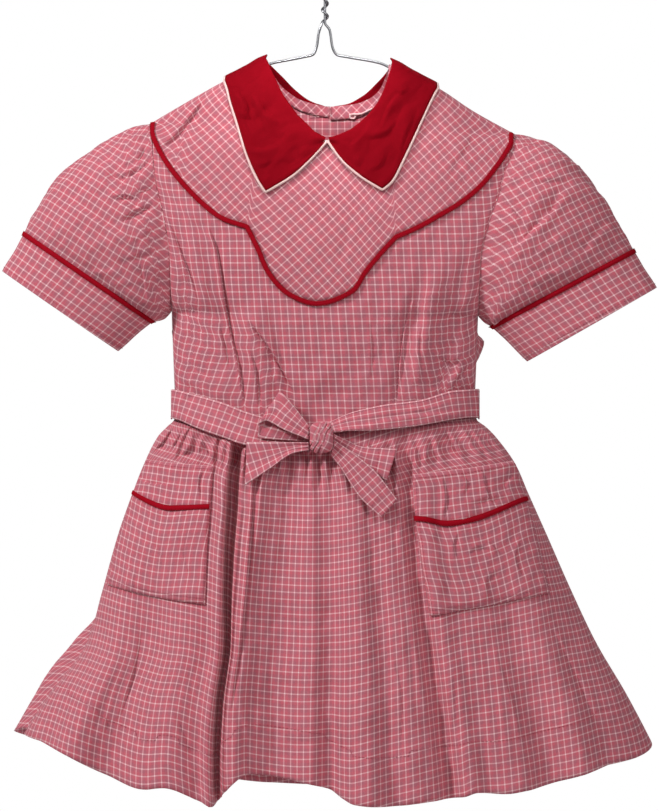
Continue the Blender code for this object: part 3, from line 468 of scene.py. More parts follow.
def body_depth(x, down, face):
    """How far the body's cloth stands out from the middle, without its folds."""
    x, down = np.broadcast_arrays(np.asarray(x, float), np.asarray(down, float))
    right = x > 0
    edge = np.where(right, side_edge(down, "right"), side_edge(down, "left"))
    arm = np.where(right, arm_depth(down, "right"), arm_depth(down, "left"))
    share = np.clip(np.abs(x / edge), 0, 1)
    fall = np.clip((down - smooth(SHOULDER["x"], SHOULDER["down"], x)) / SHOULDER_DROP, 0, 1)
    lift = np.sqrt(np.clip(1 - (1 - fall) ** 2, 0, 1))
    middle = smooth(BODY["down"], BODY[face], down) * lift
    roundness = np.sqrt(np.clip(1 - share ** SIDE_POWER, 0, 1))
    return arm + (middle - arm) * roundness


print("depth at the chest", round(float(body_depth(0.0, 300.0, "front")), 1), "mm")

# %% Points on and off the body
def place(x, down, out, face):
    """Points in space from a maker's measures."""
    toward = -1 if face == "front" else 1
    x, down, out = np.broadcast_arrays(x, down, out)
    return np.stack([x, toward * out, -down], axis=-1)


def on_body(x, down, out, face):
    """A point moved straight out of the body's smooth surface."""
    probe = 0.4
    depth = body_depth(x, down, face)
    right, left = (body_depth(x + step, down, face) for step in (probe, -probe))
    lower, upper = (body_depth(x, down + step, face) for step in (probe, -probe))
    slope_x, slope_down = (right - left) / (2 * probe), (lower - upper) / (2 * probe)
    out = out / np.sqrt(slope_x ** 2 + slope_down ** 2 + 1)
    return place(x - out * slope_x, down - out * slope_down, depth + out, face)


def bump(distance):
    """A soft ridge one high in the middle and flat at distance 1."""
    ridge = 0.5 + 0.5 * np.cos(np.pi * np.clip(distance, -1, 1))
    return np.where(np.abs(distance) < 1, ridge, 0)


def ramp(value, start, length):
    """Nothing up to the start, then evenly up to one over the length."""
    return np.clip((value - start) / length, 0, 1)


def clear(values):
    """Depths kept off the flat middle, so that front and back never touch."""
    return np.maximum(values, SEAM_HALF)


print("a soft ridge falls", bump(np.linspace(0, 1, 5)).round(2).tolist())

# %% [markdown]
# ## Creases and crumple
# Pressed cotton that has been worn and folded keeps creases. Two kinds are placed: a
# soft trough with a lower ridge beside it, and a sharp fold, where the cloth on one side
# lies higher and drops over a millimetre or so, which throws a thin shadow. They could be
# painted as bump alone, but real steps catch the light from every side. A faint crumple
# of slow waves keeps the plain stretches from looking like moulded plastic.

# %% Crease and crumple helpers
def creases(x, down, table):
    """Soft troughs along straight lines, each with a lower ridge beside it."""
    out = np.zeros(np.broadcast(x, down).shape)
    for x1, down1, x2, down2, wide, high in zip(*table.values()):
        run_x, run_down = x2 - x1, down2 - down1
        run = np.hypot(run_x, run_down)
        share = ((x - x1) * run_x + (down - down1) * run_down) / run ** 2
        side = ((x - x1) * run_down - (down - down1) * run_x) / run
        taper = bump(np.clip(2 * share - 1, -1, 1)) ** 0.6
        ridge = 0.55 * np.exp(-((side - 1.7 * wide) / wide) ** 2)
        out += high * taper * (ridge - np.exp(-(side / wide) ** 2))
    return out


def folds_on(x, down, folds):
    """Sharp folds along lines of points, each with a width and a height.

    Where the line falls and the height is above nothing, the cloth at its left lies higher.
    """
    x, down = np.broadcast_arrays(np.asarray(x, float), np.asarray(down, float))
    out = np.zeros(x.shape)
    for wide, high, points in folds:
        line = finer(np.array(points, float), 14)
        low, top = line.min(axis=0) - 9 * wide, line.max(axis=0) + 9 * wide
        near = (x > low[0]) & (x < top[0]) & (down > low[1]) & (down < top[1])
        if not near.any():
            continue
        off_x = x[near][:, None] - line[:, 0]
        off_down = down[near][:, None] - line[:, 1]
        nearest = np.argmin(off_x ** 2 + off_down ** 2, axis=1)
        run = unit(np.gradient(line, axis=0))[nearest]
        pick = np.arange(len(nearest))
        side = run[:, 0] * off_down[pick, nearest] - run[:, 1] * off_x[pick, nearest]
        taper = np.sin(math.pi * np.clip(nearest / (len(line) - 1), 0, 1)) ** 0.55
        upper, lower = np.exp(-side / (3.2 * wide)), 0.75 * np.exp(side / (2.2 * wide))
        step = 1.5 * high * np.tanh(side / (0.38 * wide)) * np.where(side > 0, upper, lower)
        under = abs(high) * np.exp(-((side * np.sign(high) / wide + 0.45) / 0.5) ** 2)
        out[near] += taper * (step - 0.7 * under)
    return out


def crumple(x, down, seed, high=0.35):
    """Slow uneven waves, the same in every run."""
    chance = np.random.default_rng(seed)
    out = np.zeros(np.broadcast(x, down).shape)
    for wave in (9, 13, 18, 26, 38, 55):
        for _ in range(3):
            angle, phase = chance.uniform(0, math.pi), chance.uniform(0, 2 * math.pi)
            bend = 2 * np.sin((x * math.sin(angle) + down * math.cos(angle)) / (wave * 1.9) + phase)
            along_wave = x * math.cos(angle) - down * math.sin(angle)
            out += (wave / 38) ** 0.8 * np.sin(2 * math.pi * along_wave / wave + bend + phase)
    return out * high / 2.2


CREASE = "x1 down1 x2 down2 wide high"    # the columns of a table of creases


def worn(x, down, seed, high, creased, deep=1.0, folded=()):
    """Crumple, creases and sharp folds together."""
    marks = crumple(x, down, seed, high) + deep * creases(x, down, creased)
    return marks + folds_on(x, down, folded)


print("crumple", round(float(np.abs(crumple(np.arange(300.0), 0, 1)).max()), 2), "mm at most")

# %% [markdown]
# ## Cloth walls
# Each panel is a grid of points, rows down and columns across, thickened inwards so that it
# has a real edge. Its cloth map counts checks along the threads. The helpers below measure
# the true run of the cloth over every fold, so the check narrows where the cloth turns away
# and closes up where it is gathered. The last lines of a panel name the frame's part that it
# replaces and the finish it takes, and print how big its cut was.

# %% Flat places on the cloth
def calm(values, reach, axis):
    """A running mean along one axis: threads stay straight where the cloth only crinkles."""
    pad = [(reach, reach) if a == axis else (0, 0) for a in range(2)]
    total = np.cumsum(np.pad(values, pad, mode="reflect", reflect_type="odd"), axis=axis)
    count = values.shape[axis]
    first, last = (np.take(total, np.arange(count) + start, axis=axis) for start in (0, 2 * reach))
    return (last - first) / (2 * reach)


def flat_place(grid, bias=0.0, middle=None):
    """Cloth place in checks: true run across from the middle column, and true run down."""
    middle = grid.shape[1] // 2 if middle is None else middle
    across = running(steps_of(grid[..., :2], axis=1), axis=1)
    across -= across[:, middle:middle + 1]
    down = running(steps_of(grid[..., 1:])) - grid[0, :, 2]
    turn = math.radians(bias)
    u = across * math.cos(turn) - down * math.sin(turn)
    v = across * math.sin(turn) + down * math.cos(turn)
    return np.stack([u, v], axis=-1) / CHECK


def hanging_place(grid, reach, tighter=1.0):
    """Cloth place of a flared panel from its upper edge: the true run down every column."""
    across = calm(calm(flat_place(grid)[..., 0], 4, 0), 3, 0)
    fall = calm(calm(running(steps_of(grid)), reach, 1), reach, 1)
    return np.stack([across * tighter, fall / CHECK], axis=-1)


def ribbon_place(grid, wide):
    """Cloth place on a strip: the run along its middle, and its own width across."""
    run = running(steps_of(grid, axis=1).mean(axis=0))
    u, v = np.meshgrid(run, np.linspace(-0.5, 0.5, len(grid)) * wide)
    middle = grid[len(grid) // 2]
    lean = np.sum((grid - middle) * unit(np.gradient(middle, axis=0)), axis=-1)
    return np.stack([u + lean, v], axis=-1) / CHECK


print("checks in 100 mm of cloth", round(100 / CHECK, 2))

# %% Meshes, panels and their cuts
cloth_areas = {}


def grid_faces(rows, across, wide, flip):
    """Faces of a grid of points, and the places of their corners on its cloth map."""
    r, c = np.meshgrid(np.arange(rows - 1), np.arange(across), indexing="ij")

    def corners(width, right):
        left, right = r * width + c, r * width + right
        return np.stack([left, left + width, right + width, right], axis=-1).reshape(-1, 4)

    faces, spots = corners(wide, (c + 1) % wide), corners(across + 1, c + 1)
    return (faces[:, ::-1], spots[:, ::-1]) if flip else (faces, spots)


def end_caps(rows, wide):
    """The two faces that close the ends of a ringed grid."""
    return [tuple(range(wide)), tuple(range((rows - 1) * wide, rows * wide))[::-1]]


def mesh_of(name, points, faces, uv, caps=()):
    """A smooth mesh in metres from points in millimetres, with its cloth map."""
    mesh = bpy.data.meshes.new(name)
    mesh.from_pydata((points.reshape(-1, 3) * MM).tolist(), [], faces.tolist() + list(caps))
    blank = np.zeros((sum(len(cap) for cap in caps), 2))
    layer = mesh.uv_layers.new(name="cloth")
    spots = np.concatenate([uv.reshape(-1, 2), blank]).astype(np.float32)
    layer.data.foreach_set("uv", spots.ravel())
    mesh.shade_smooth()
    return mesh


def show(name, data, finish, nodes=()):
    """Puts a mesh in the scene, riding on the dress, in place of the frame's own parts."""
    data.materials.append(finish)
    piece = add(name, data)
    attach(piece, "root")
    if nodes:
        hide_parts(*nodes)
    return piece


def cloth(node, grid, uv, finish=check_cotton, wall=WALL, flip=False,
          ring=False):
    """A panel with a wall, instead of the frame's panel of that name."""
    rows, wide = grid.shape[:2]
    faces, spots = grid_faces(rows, wide if ring else wide - 1, wide, flip)
    name = node + "_cloth"
    mesh = mesh_of(name, grid, faces, uv.reshape(-1, 2)[spots])
    piece = show(name, mesh, finish, [node])
    shell = piece.modifiers.new("wall", "SOLIDIFY")
    shell.thickness = wall * MM
    shell.offset = -1
    cloth_areas[node] = sum(p.area for p in mesh.polygons)
    return piece


def cut(piece, width, length, held, rests_on, share=None):
    """States a panel's cut: the cloth's own width and length. Its share of that rectangle is not
    used.
    """
    node = piece.name.replace("_cloth", "")
    print(f"{node}: {cloth_areas[node]:.4f} m2 of cloth from a cut of {width} by {length} m")


print("one face of a grid takes points", grid_faces(2, 1, 2, False)[0].tolist())

# %% [markdown]
# ## Thread and cord
# A stitch is a short raised bar of thread, thin at both ends, laid on the cloth's own points.
# A cord or a wire is a ring of points swept along a line. Blender can bevel a curve for both,
# but a mesh keeps a map for the finish and takes the frame's measures to the last point.

# %% Stitches and tubes
BAR_FACES = [(4 * s + k, 4 * s + (k + 1) % 4, 4 * s + 4 + (k + 1) % 4, 4 * s + 4 + k)
             for s in range(3) for k in range(4)] + [(3, 2, 1, 0), (12, 13, 14, 15)]
TAPE_STITCH = (1.9, 2.7, 0.2)    # a stitch's length, the pitch and its radius


def stitches(name, paths, finish, size):
    """Short raised stitches along lines of points on the cloth, in one mesh."""
    long, pitch, radius = size
    points, faces = [], []
    for path in paths:
        reach = running(steps_of(path))
        for begin in np.arange(0.6, reach[-1] - long, pitch):
            spots = begin + long * np.array([0, 0.2, 0.8, 1.0])
            line = np.stack([np.interp(spots, reach, path[:, k]) for k in range(3)], axis=1)
            run = unit(line[-1] - line[0])
            side = unit(np.cross(run, (0.3, 0.9, 0.2)))
            up = np.cross(run, side)
            faces.extend(np.array(BAR_FACES) + len(points))
            for point, thick in zip(line, (0.25, 1, 1, 0.25)):
                for angle in math.pi / 2 * np.arange(4) + 0.5:
                    across = math.cos(angle) * side + math.sin(angle) * up
                    points.append(point + radius * thick * across)
    points, faces = np.array(points), np.array(faces)
    mesh = mesh_of(name, points, faces, points[faces][..., [0, 2]] / CHECK)
    return show(name, mesh, finish)


def tube(name, points, radius, finish, sides=10, nodes=(), twist=0.0):
    """A round cord through points, with a map that runs along it."""
    points = np.asarray(points, float)
    run = unit(np.gradient(points, axis=0))
    side = np.cross(run[0], (0.13, 0.99, 0.07))
    across = []
    for onward in run:
        side = unit(side - onward * np.dot(side, onward))
        across.append(side)
    across = np.array(across)
    up = np.cross(run, across)
    angle = (np.arange(sides) * 2 * math.pi / sides)[:, None]
    ring = np.cos(angle) * across[:, None] + np.sin(angle) * up[:, None]
    grid = points[:, None] + radius * ring
    faces, spots = grid_faces(len(points), sides, sides, False)
    u, v = np.meshgrid(np.linspace(0, 2 * math.pi * radius, sides + 1), running(steps_of(points)))
    uv = np.stack([u + twist * v, v], axis=-1).reshape(-1, 2)[spots] / CHECK
    mesh = mesh_of(name, grid, faces, uv, end_caps(len(points), sides))
    return show(name, mesh, finish, nodes)


print("a stitch has", len(BAR_FACES), "faces")

# %% [markdown]
# ## Yoke and bodice
# The yoke is cut on the bias, so its check stands on its corners, and its lower edge runs in
# three scallops. The lower front hangs from it on the straight grain, with pressed tucks
# that open towards the belt. Both follow the same seam line, a small room apart.

# %% The yoke seam
# The three scallops of the yoke seam
SEAM_LEFT = columns("x down", [
    (-153.4, 177.8), (-148, 193), (-138, 211), (-124, 229), (-104, 249), (-88.5, 260), (-68, 267),
])
SEAM_MIDDLE = columns("x down", [
    (-68, 267), (-59, 285), (-49, 307), (-30, 326.5), (-7, 334), (24, 323), (35, 307), (48, 291),
    (62, 276),
])
SEAM_RIGHT = columns("x down", [
    (62, 276), (82, 267), (98, 258), (118, 246), (136, 231), (149, 215), (161, 197),
    (166.4, 186.7),
])
SEAM_COLUMNS = (0, 10, 18, 28)    # columns at the ends of the three scallops
SEAM_START_ANGLE = 15             # where the yoke seam meets the armhole
FRONT_FINE = 10                   # points a column: closer than elsewhere, for sharp folds


def seam_points():
    """The whole seam, in its three scallops from the left armhole to the right one."""
    tables = (SEAM_LEFT, SEAM_MIDDLE, SEAM_RIGHT)
    xs, downs = [], []
    for table, first, last in zip(tables, SEAM_COLUMNS[:-1], SEAM_COLUMNS[1:]):
        x, down = along(table, np.linspace(0, 1, (last - first) * FRONT_FINE + 1))
        xs.extend(x[:-1])
        downs.extend(down[:-1])
    return np.append(xs, SEAM_RIGHT["x"][-1]), np.append(downs, SEAM_RIGHT["down"][-1])


def beside_seam(x, down, distance):
    """A line at a set distance below the seam, or above it if that is under nothing."""
    run_x, run_down = np.gradient(x), np.gradient(down)
    length = np.hypot(run_x, run_down)
    return x - run_down / length * distance, down + run_x / length * distance


def arm_row(side, angle):
    """How far down an armhole's edge is at an angle, 0 at its top and 180 at its bottom."""
    top, bottom = ARMHOLE[side]
    return (top + bottom) / 2 - (bottom - top) / 2 * np.cos(np.radians(angle))


print("the seam has", len(seam_points()[0]), "points")

# %% The yoke
FRONT_NECK = columns("x down", [
    (-51, 120), (-43, 139), (-33, 158.5), (-20, 175.5), (1.5, 193), (21, 185.5), (32, 177),
    (46, 160.5), (52.5, 146.5), (57, 122.5),
])
YOKE_CREASES = columns(CREASE, [
    (-140, 186, -96, 222, 3, 1), (-110, 176, -86, 236, 3.4, 0.9), (96, 176, 128, 232, 3.2, 1),
    (-40, 262, -6, 322, 3.4, 0.8), (26, 250, 8, 318, 3.4, 0.8),
])
YOKE_FOLDS = [
    (2.4, 2.2, [(-107, 154), (-115, 166), (-124, 178), (-132, 188), (-142, 196)]),
    (1.8, 1, [(-140, 196), (-122, 214), (-98, 226)]),
    (1.6, 0.8, [(130, 186), (118, 204), (104, 226)]),
]


def yoke_surface():
    seam_x, seam_down = seam_points()
    first, last = SEAM_COLUMNS[1] * FRONT_FINE, SEAM_COLUMNS[2] * FRONT_FINE
    neck_x, neck_down = along(FRONT_NECK, np.linspace(0, 1, last - first + 1))
    left_x = np.linspace(-153.6, -50.5, first + 1)[:-1]
    right_x = np.linspace(56.8, 166.6, len(seam_x) - last)[1:]
    top_x = np.concatenate([left_x, neck_x, right_x])
    top = smooth(SHOULDER["x"], SHOULDER["down"], top_x)
    top[first:last + 1] = neck_down
    low_x, low = beside_seam(seam_x, seam_down, -SEAM_HALF)
    shares = np.linspace(0, 1, 46) ** 2.0
    x = top_x + (low_x - top_x) * shares[:, None]
    down = top + (low - top) * shares[:, None]
    for column, side in ((0, "left"), (-1, "right")):
        down[:, column] = arm_row(side, (SEAM_START_ANGLE - 0.2) * np.sqrt(shares))
        x[:, column] = side_edge(down[:, column], side)
    out = body_depth(x, down, "front")
    marks = worn(x, down, 3, 0.3, YOKE_CREASES, folded=YOKE_FOLDS)
    return place(x, down, clear(out + ramp(out, 0, 12) * marks), "front")


yoke = yoke_surface()
yoke_cloth = cloth("yoke_front", yoke, flat_place(yoke, bias=45))
cut(yoke_cloth, 0.34, 0.17, "hung", ["hanger_wire"], 0.62)

# %% Guide lines of the front skirt
# Lines down the front skirt, at the waist seam, the pocket's top, its band's
# lower edge, its own lower edge and the hem
SKIRT_LINES = columns("column x_waist x_top x_band x_end x_hem waist top band end", [
    (0, -132, -158, -169, -194, -261, 421, 470, 499, 579),
    (3, -130.5, -155, -167, -190, -249, 422, 470.5, 500.5, 580),
    (9, -110, -128, -135, -147, -184, 428, 473.5, 513.5, 590),
    (15, -84, -96, -99, -103, -110, 436, 476, 512, 596),
    (19, -70, -79, -81, -84, -93, 441, 479, 515, 599),
    (22, -58, -64, -68, -77, -86, 445, 481, 517, 601),
    (32, 0, 2, 3, 5, 6, 448, 485, 521, 605),
    (44, 66, 77, 80, 92, 119, 431, 483, 522, 605),
    (47.2, 83.067, 101, 105.6, 119.2, 152.6, 427.8, 480.333, 526.8, 600.733),
    (50, 98, 122, 128, 143, 182, 425, 478, 523.4, 597),
    (57, 129.5, 164, 176, 196, 247, 422, 472, 506, 587),
    (60, 132, 167, 181, 216, 288, 421, 474, 507, 585),
])
WAIST_SIDE = 421              # the front waist seam at the side seams


def waist_seam(x):
    """The bodice and the skirt meet on this line."""
    return smooth(SKIRT_LINES["x_waist"], SKIRT_LINES["waist"], x)


print("waist seam at the middle", round(float(waist_seam(0.0)), 1), "mm down")

# %% The lower front
BODICE_COLUMNS = 28
TRIM_HALF = 2.2               # half the tape's width: the grid's second row lies at its edge
# Soft tucks down the front bodice, as columns of its grid
BODICE_TUCKS = columns("column half height start end", [
    (4.2, 1.4, 3, 0.05, 0.75),
    (6.6, 1.3, -3, 0.10, 0.90),
    (9, 1.5, 3, 0.25, 1.05),
    (11.6, 1.3, -3, 0.10, 1.05),
    (20.6, 1.2, -3.2, 0.15, 1.05),
    (22.2, 1.3, 2.8, 0.15, 1.05),
    (24.8, 1.5, -2.6, 0.30, 1.00),
])
BODICE_CREASES = columns(CREASE, [
    (-131, 266, -109, 348, 2, 2.4), (-97, 272, -83, 352, 1.8, 2.2), (-86, 346, -74, 418, 2.2, 2.6),
    (-69, 346, -29, 410, 2.6, 2.6), (-48, 372, -40, 425, 2.2, 1), (74, 335, 64, 422, 2, 2.6),
    (98, 384, 131, 382, 2.2, 1.8), (52, 360, 44, 418, 2.6, 0.8), (106, 300, 112, 372, 3, 1.2),
    (-20, 360, -14, 430, 3, 0.5), (12, 352, 18, 424, 3, 0.4), (118, 390, 92, 408, 2.2, 1.4),
])
BODICE_FOLDS = [
    (1.3, 1.5, [(-138, 258), (-124, 294), (-117, 312), (-110, 336)]),
    (1.8, 2.4, [(-101, 268), (-93, 295), (-85, 347), (-74.5, 394), (-71, 420)]),
    (1.5, -2, [(-68, 347), (-52, 367), (-40, 386), (-27, 412)]),
    (1.6, 1.2, [(-92, 354), (-89, 368), (-84, 388)]),
    (2, 1.8, [(-66, 374), (-60, 396), (-58, 424)]),
    (1.2, -1, [(-130, 399), (-120, 404), (-106, 413)]),
    (1.2, 0.9, [(-122, 380), (-112, 392), (-98, 402)]),
    (1.5, -1.7, [(77, 328), (70.6, 350), (67, 372), (64.6, 395), (63.8, 424)]),
    (1.3, -1.5, [(96, 379), (112, 384.5), (130, 383)]),
    (1.7, 1.5, [(128, 386), (119, 395), (111, 408)]),
    (1.4, 0.9, [(84, 352), (82, 372), (85, 404)]),
    (1.6, 0.8, [(39, 350), (41, 372), (40, 400)]),
]


def tucks(column, fall):
    out = np.zeros(fall.shape)
    for at, half, height, start, end in zip(*BODICE_TUCKS.values()):
        middle, reach = (start + end) / 2, (end - start) / 2
        out += height * bump((column - at) / half) * bump((fall - middle) / reach)
    return out


def armhole_side(low, side, waist):
    """The grid's rows at one side: down the armhole, then down the side seam."""
    arm = arm_row(side, np.linspace(low, 180, 54))
    return np.concatenate([arm, np.linspace(arm[-1], waist, 28)[1:]])


def bodice_surface():
    seam_x, seam_down = seam_points()
    column = np.linspace(0, BODICE_COLUMNS, len(seam_x))
    share = column / BODICE_COLUMNS
    waist = waist_seam(-132 + 264 * share) - GAP / 2
    low_x, low = beside_seam(seam_x, seam_down, TRIM_HALF)
    start_x, start = beside_seam(seam_x, seam_down, SEAM_HALF)
    fall = 0
    for end, side, weight in ((0, "left", 1 - share), (-1, "right", share)):
        rows = armhole_side(20, side, waist[end])
        fall = fall + ((rows - rows[0]) / (rows[-1] - rows[0]))[:, None] * weight
        low[end], start[end] = rows[0], arm_row(side, SEAM_START_ANGLE + 0.2)
        low_x[end], start_x[end] = side_edge(low[end], side), side_edge(start[end], side)
    down = low + (waist - low) * fall
    edges = side_edge(low, "left"), side_edge(low, "right")
    across_top = (low_x - edges[0]) / (edges[1] - edges[0])
    across = across_top + (share - across_top) * fall
    above_belt = np.minimum(down, WAIST_SIDE)
    left, right = side_edge(above_belt, "left"), side_edge(above_belt, "right")
    x = np.vstack([start_x, left + (right - left) * across])
    down, fall = np.vstack([start, down]), np.vstack([0 * share, fall])
    from_side = 1 - np.abs(x / side_edge(np.minimum(down, WAIST_SIDE), "right"))
    loose = ramp(from_side, 0, 0.06) * ramp(fall, 0, 0.05)
    under_belt = 1 - 0.75 * ramp(fall, 0.93, 0.05)
    marks = worn(x, down, 5, 0.4, BODICE_CREASES, 0.5, BODICE_FOLDS)
    out = (1.15 * tucks(column, fall) + loose * marks) * under_belt
    return place(x, down, clear(body_depth(x, down, "front") + out), "front")


bodice = bodice_surface()
bodice_cloth = cloth("bodice_front", bodice, flat_place(bodice))
cut(bodice_cloth, 0.36, 0.23, "hung", ["yoke_front_cloth"], 0.68)

# %% [markdown]
# ## Back
# The back is two halves that lap at the centre and button. Inside the neck a narrow strip
# cut on the bias faces the edge: its lower edge shows from the front between the collar
# ends, with the small square notch where the two halves part.

# %% Laps and edges of the back
BACK_WAIST = 422
BACK_COLUMNS = 13
NECK_COLUMNS = 7              # of them, those under the neck's edge
BACK_LAP = 18                 # how far the right half goes under the left one
LAP_EDGE = 4                  # x of the left half's edge
BACK_NECK = columns("x down", [
    (-51, 120), (-45, 131.5), (-38, 141), (-30, 147.5), (-20, 153), (4, 158), (24, 156.5),
    (39, 151.5), (48, 144), (54, 132), (57, 122.5),
])
# Where the back panel's cloth swings out past the side seam
BACK_SWING = columns("down left right", [
    (350, 0, 0), (358, -5, 3), (367, -2, 11), (380, 0, 7), (395, 0, 0), (595, 0, 0), (609, -6, 0),
    (631, -20, 0), (653, -25, 0), (677, -22, 0), (708, -20, 0), (785, -20, 0),
])


def lap_rise(x):
    """How far the cloth stands out where it passes over the lap."""
    return (1.2 + GAP + LAY) * smooth((LAP_EDGE, 22, 40), (1, 0.15, 0), x)


def swing(x, down):
    """Moves the cloth near the side seams out past them, as it hangs behind the front."""
    moved_x = np.array(x)
    for side in ("left", "right"):
        share = np.clip(x / side_edge(down, side), 0, 1)
        reach = smooth(BACK_SWING["down"], BACK_SWING[side], down)
        moved_x = moved_x + reach * smooth((0.0, 0.80, 0.965, 1.0), (0, 0, 1, 0), share)
    return moved_x


print("the lap lifts the cloth", round(float(lap_rise(LAP_EDGE)), 1), "mm")

# %% The back halves' surface
BACK_CREASES = columns(CREASE, [
    (-128, 262, -104, 340, 2.4, 2), (-90, 340, -76, 418, 2.4, 2.2), (-52, 360, -44, 420, 2.4, 1.6),
    (124, 268, 104, 352, 2.4, 2), (84, 344, 72, 420, 2.4, 2), (48, 350, 42, 420, 2.4, 1.6),
    (-110, 186, -70, 236, 3.4, 0.9), (112, 190, 74, 240, 3.4, 0.9),
])


def back_surface(side):
    centre = LAP_EDGE - (BACK_LAP if side == "right" else 0)
    share = np.linspace(0, 1, BACK_COLUMNS * FINE + 1)
    part = share * BACK_COLUMNS
    shoulder = (-153.6, -50.5) if side == "left" else (166.6, 56.8)
    bend = BACK_COLUMNS - NECK_COLUMNS
    inward = shoulder[0] + (shoulder[1] - shoulder[0]) * ramp(part, 0, bend)
    top_x = inward + (centre - shoulder[1]) * ramp(part, bend, NECK_COLUMNS) ** 1.5
    top = np.where(part <= bend, smooth(SHOULDER["x"], SHOULDER["down"], top_x),
                   smooth(BACK_NECK["x"], BACK_NECK["down"], top_x))
    waist = BACK_WAIST - GAP / 2
    arm = arm_row(side, 180 * np.linspace(0, 1, 44) ** 1.3)
    rows = np.concatenate([arm, np.linspace(arm[-1], waist, 28)[1:]])
    fall = ((rows - rows[0]) / (rows[-1] - rows[0]))[:, None]
    down = top + (waist - top) * fall
    to_top = (top_x - side_edge(top, side)) / (centre - side_edge(top, side))
    across = to_top + (share - to_top) * fall
    across[:, 0] = 0
    x = side_edge(down, side) + (centre - side_edge(down, side)) * across
    out = body_depth(x, down, "back")
    loose = ramp(out, 0, 14) * ramp(across, 0, 0.05) * np.clip((1.001 - across) / 0.12, 0, 1)
    loose = loose * (1 - 0.7 * ramp(fall, 0.95, 0.04))
    out = out + loose * worn(x, down, 11, 0.35, BACK_CREASES)
    if side == "right":
        out = out + lap_rise(x)
    return place(swing(x, down), down, clear(out), "back")


def moved(grid, distance):
    """The same grid, moved straight out of its own surface."""
    normal = unit(np.cross(np.gradient(grid, axis=0), np.gradient(grid, axis=1)))
    return grid + distance * normal


print("back half", back_surface("left").shape[:2], "points")

# %% The two back halves and the neck facing
FACING_FOOT = 167.5           # millimetres down at the centre
facings = {}
for side, inward in (("left", 1), ("right", -1)):
    back = back_surface(side)
    node = f"bodice_back_{side}"
    flip = side == "left"
    piece = cloth(node, back, flat_place(back, middle=back.shape[1] - 1), flip=flip)
    cut(piece, 0.18, 0.31, "hung", ["hanger_wire"], 0.8)
    depth = int(np.argmin(np.abs(-back[:, -1, 2] - FACING_FOOT)))
    inside = moved(back[:depth + 1, -NECK_COLUMNS * FINE:], inward * (WALL + 0.55))
    if side == "right":
        inside = inside[:, inside[0, :, 0] > LAP_EDGE + 0.6]
    facings[side] = inside[1:]
    uv = flat_place(facings[side], bias=45)
    strip = cloth(f"neck_facing_{side}", facings[side], uv, wall=0.6, flip=flip)
    cut(strip, 0.05, 0.016, "hung", [node + "_cloth"], 0.85)

# %% [markdown]
# ## Red tape
# A folded strip of crimson bias tape covers the yoke seam. It is made from the two panels'
# own edge rows, lifted off them, and a row of stitches runs along each edge.

# %% Yoke tape
TAPE_LINES = ((-2.2, 1.3), (-1.9, 1.75), (0, 1.9), (1.9, 1.75), (2.2, 1.3))    # across, rise


def yoke_tape():
    """The tape's grid: along the seam, with both ends turned up the armholes."""
    seam = [line[5:-5] for line in seam_points()]
    ends = []
    for side, sign, last in (("left", 1, 0), ("right", -1, -1)):
        down = arm_row(side, np.linspace(4, SEAM_START_ANGLE - 1.5, 6))
        x = side_edge(down, side) + sign * 2.6
        reach = np.linspace(1, 0.15, 6)
        x = x * reach + seam[0][last] * (1 - reach)
        ends.append((x, np.minimum(down, seam[1][last] - 0.5)))
    x, down = (np.concatenate([ends[0][k], seam[k], ends[1][k][::-1]]) for k in (0, 1))
    return np.stack([on_body(*beside_seam(x, down, across), rise, "front")
                     for across, rise in TAPE_LINES])


tape = yoke_tape()
tape_cloth = cloth("yoke_trim", tape, flat_place(tape, bias=45), red_tape, wall=0.7)
cut(tape_cloth, 0.46, 0.01, "laid", ["yoke_front_cloth", "bodice_front_cloth"], 0.48)
edges = [tape[row] * 0.85 + tape[2] * 0.15 + (0, -0.25, 0) for row in (1, 3)]
stitches("yoke_tape_stitches", edges, red_thread, TAPE_STITCH)

# %% [markdown]
# ## Collar
# The collar is solid crimson in two halves, each pointed in front. It stands a little at the
# neck, rolls over and lies on the yoke, and passes over the shoulder to a rounded back. Pale
# piping is sewn into its outer edge. The sections are the frame's; between them the surface
# runs smoothly, except at the point, where the two straight edges meet.

# %% Collar sections
# The neck edge and the outer edge, front from the centre to the shoulder and back from
# the shoulder to the centre. The face is 1 in front, -1 behind and 0 on the ridge.
COLLAR = {
    "left": columns("neck_x neck outer_x outer face", [
        (0.4, 190.5, -0.6, 193.5, 1), (-8, 185.5, -14, 208, 1), (-16, 177.5, -29, 221.5, 1),
        (-24, 169, -51.5, 235.5, 1), (-30, 161, -60, 221, 1), (-37, 150, -67.5, 203, 1),
        (-42.5, 138.5, -76, 175, 1), (-46.5, 130, -81, 158, 1), (-48.5, 125, -84, 146, 1),
        (-50, 121.8, -86.2, 139.3, 1), (-50.5, 120.5, -86.8, 137, 0),
        (-50, 121.4, -86.4, 139.3, -1), (-48.5, 124, -85, 146, -1), (-44, 127.5, -83, 158, -1),
        (-36, 134.5, -74, 181, -1), (-25, 145, -52, 198, -1), (-13, 153.5, -27, 203.5, -1),
        (0, 158, 0, 205, -1),
    ]),
    "right": columns("neck_x neck outer_x outer face", [
        (3.4, 190.5, 4.4, 193.5, 1), (13, 187, 18, 210.5, 1), (22, 183, 33, 223, 1),
        (31, 176, 50, 233.5, 1), (38, 168.5, 57.5, 227, 1), (45.5, 159, 70, 203, 1),
        (51, 147, 83, 174, 1), (54.5, 136, 89.5, 160, 1), (56.5, 129.5, 94.5, 150, 1),
        (57, 124.4, 97, 145, 1), (57.2, 122.9, 97.8, 142.6, 0), (57, 124.4, 97.2, 145, -1),
        (55.5, 128, 96.3, 151, -1), (51, 133.5, 94, 163, -1), (44, 140.5, 82, 186, -1),
        (33, 149.5, 62, 200, -1), (20, 156, 36, 204.5, -1), (8, 158, 8, 205, -1),
    ]),
}
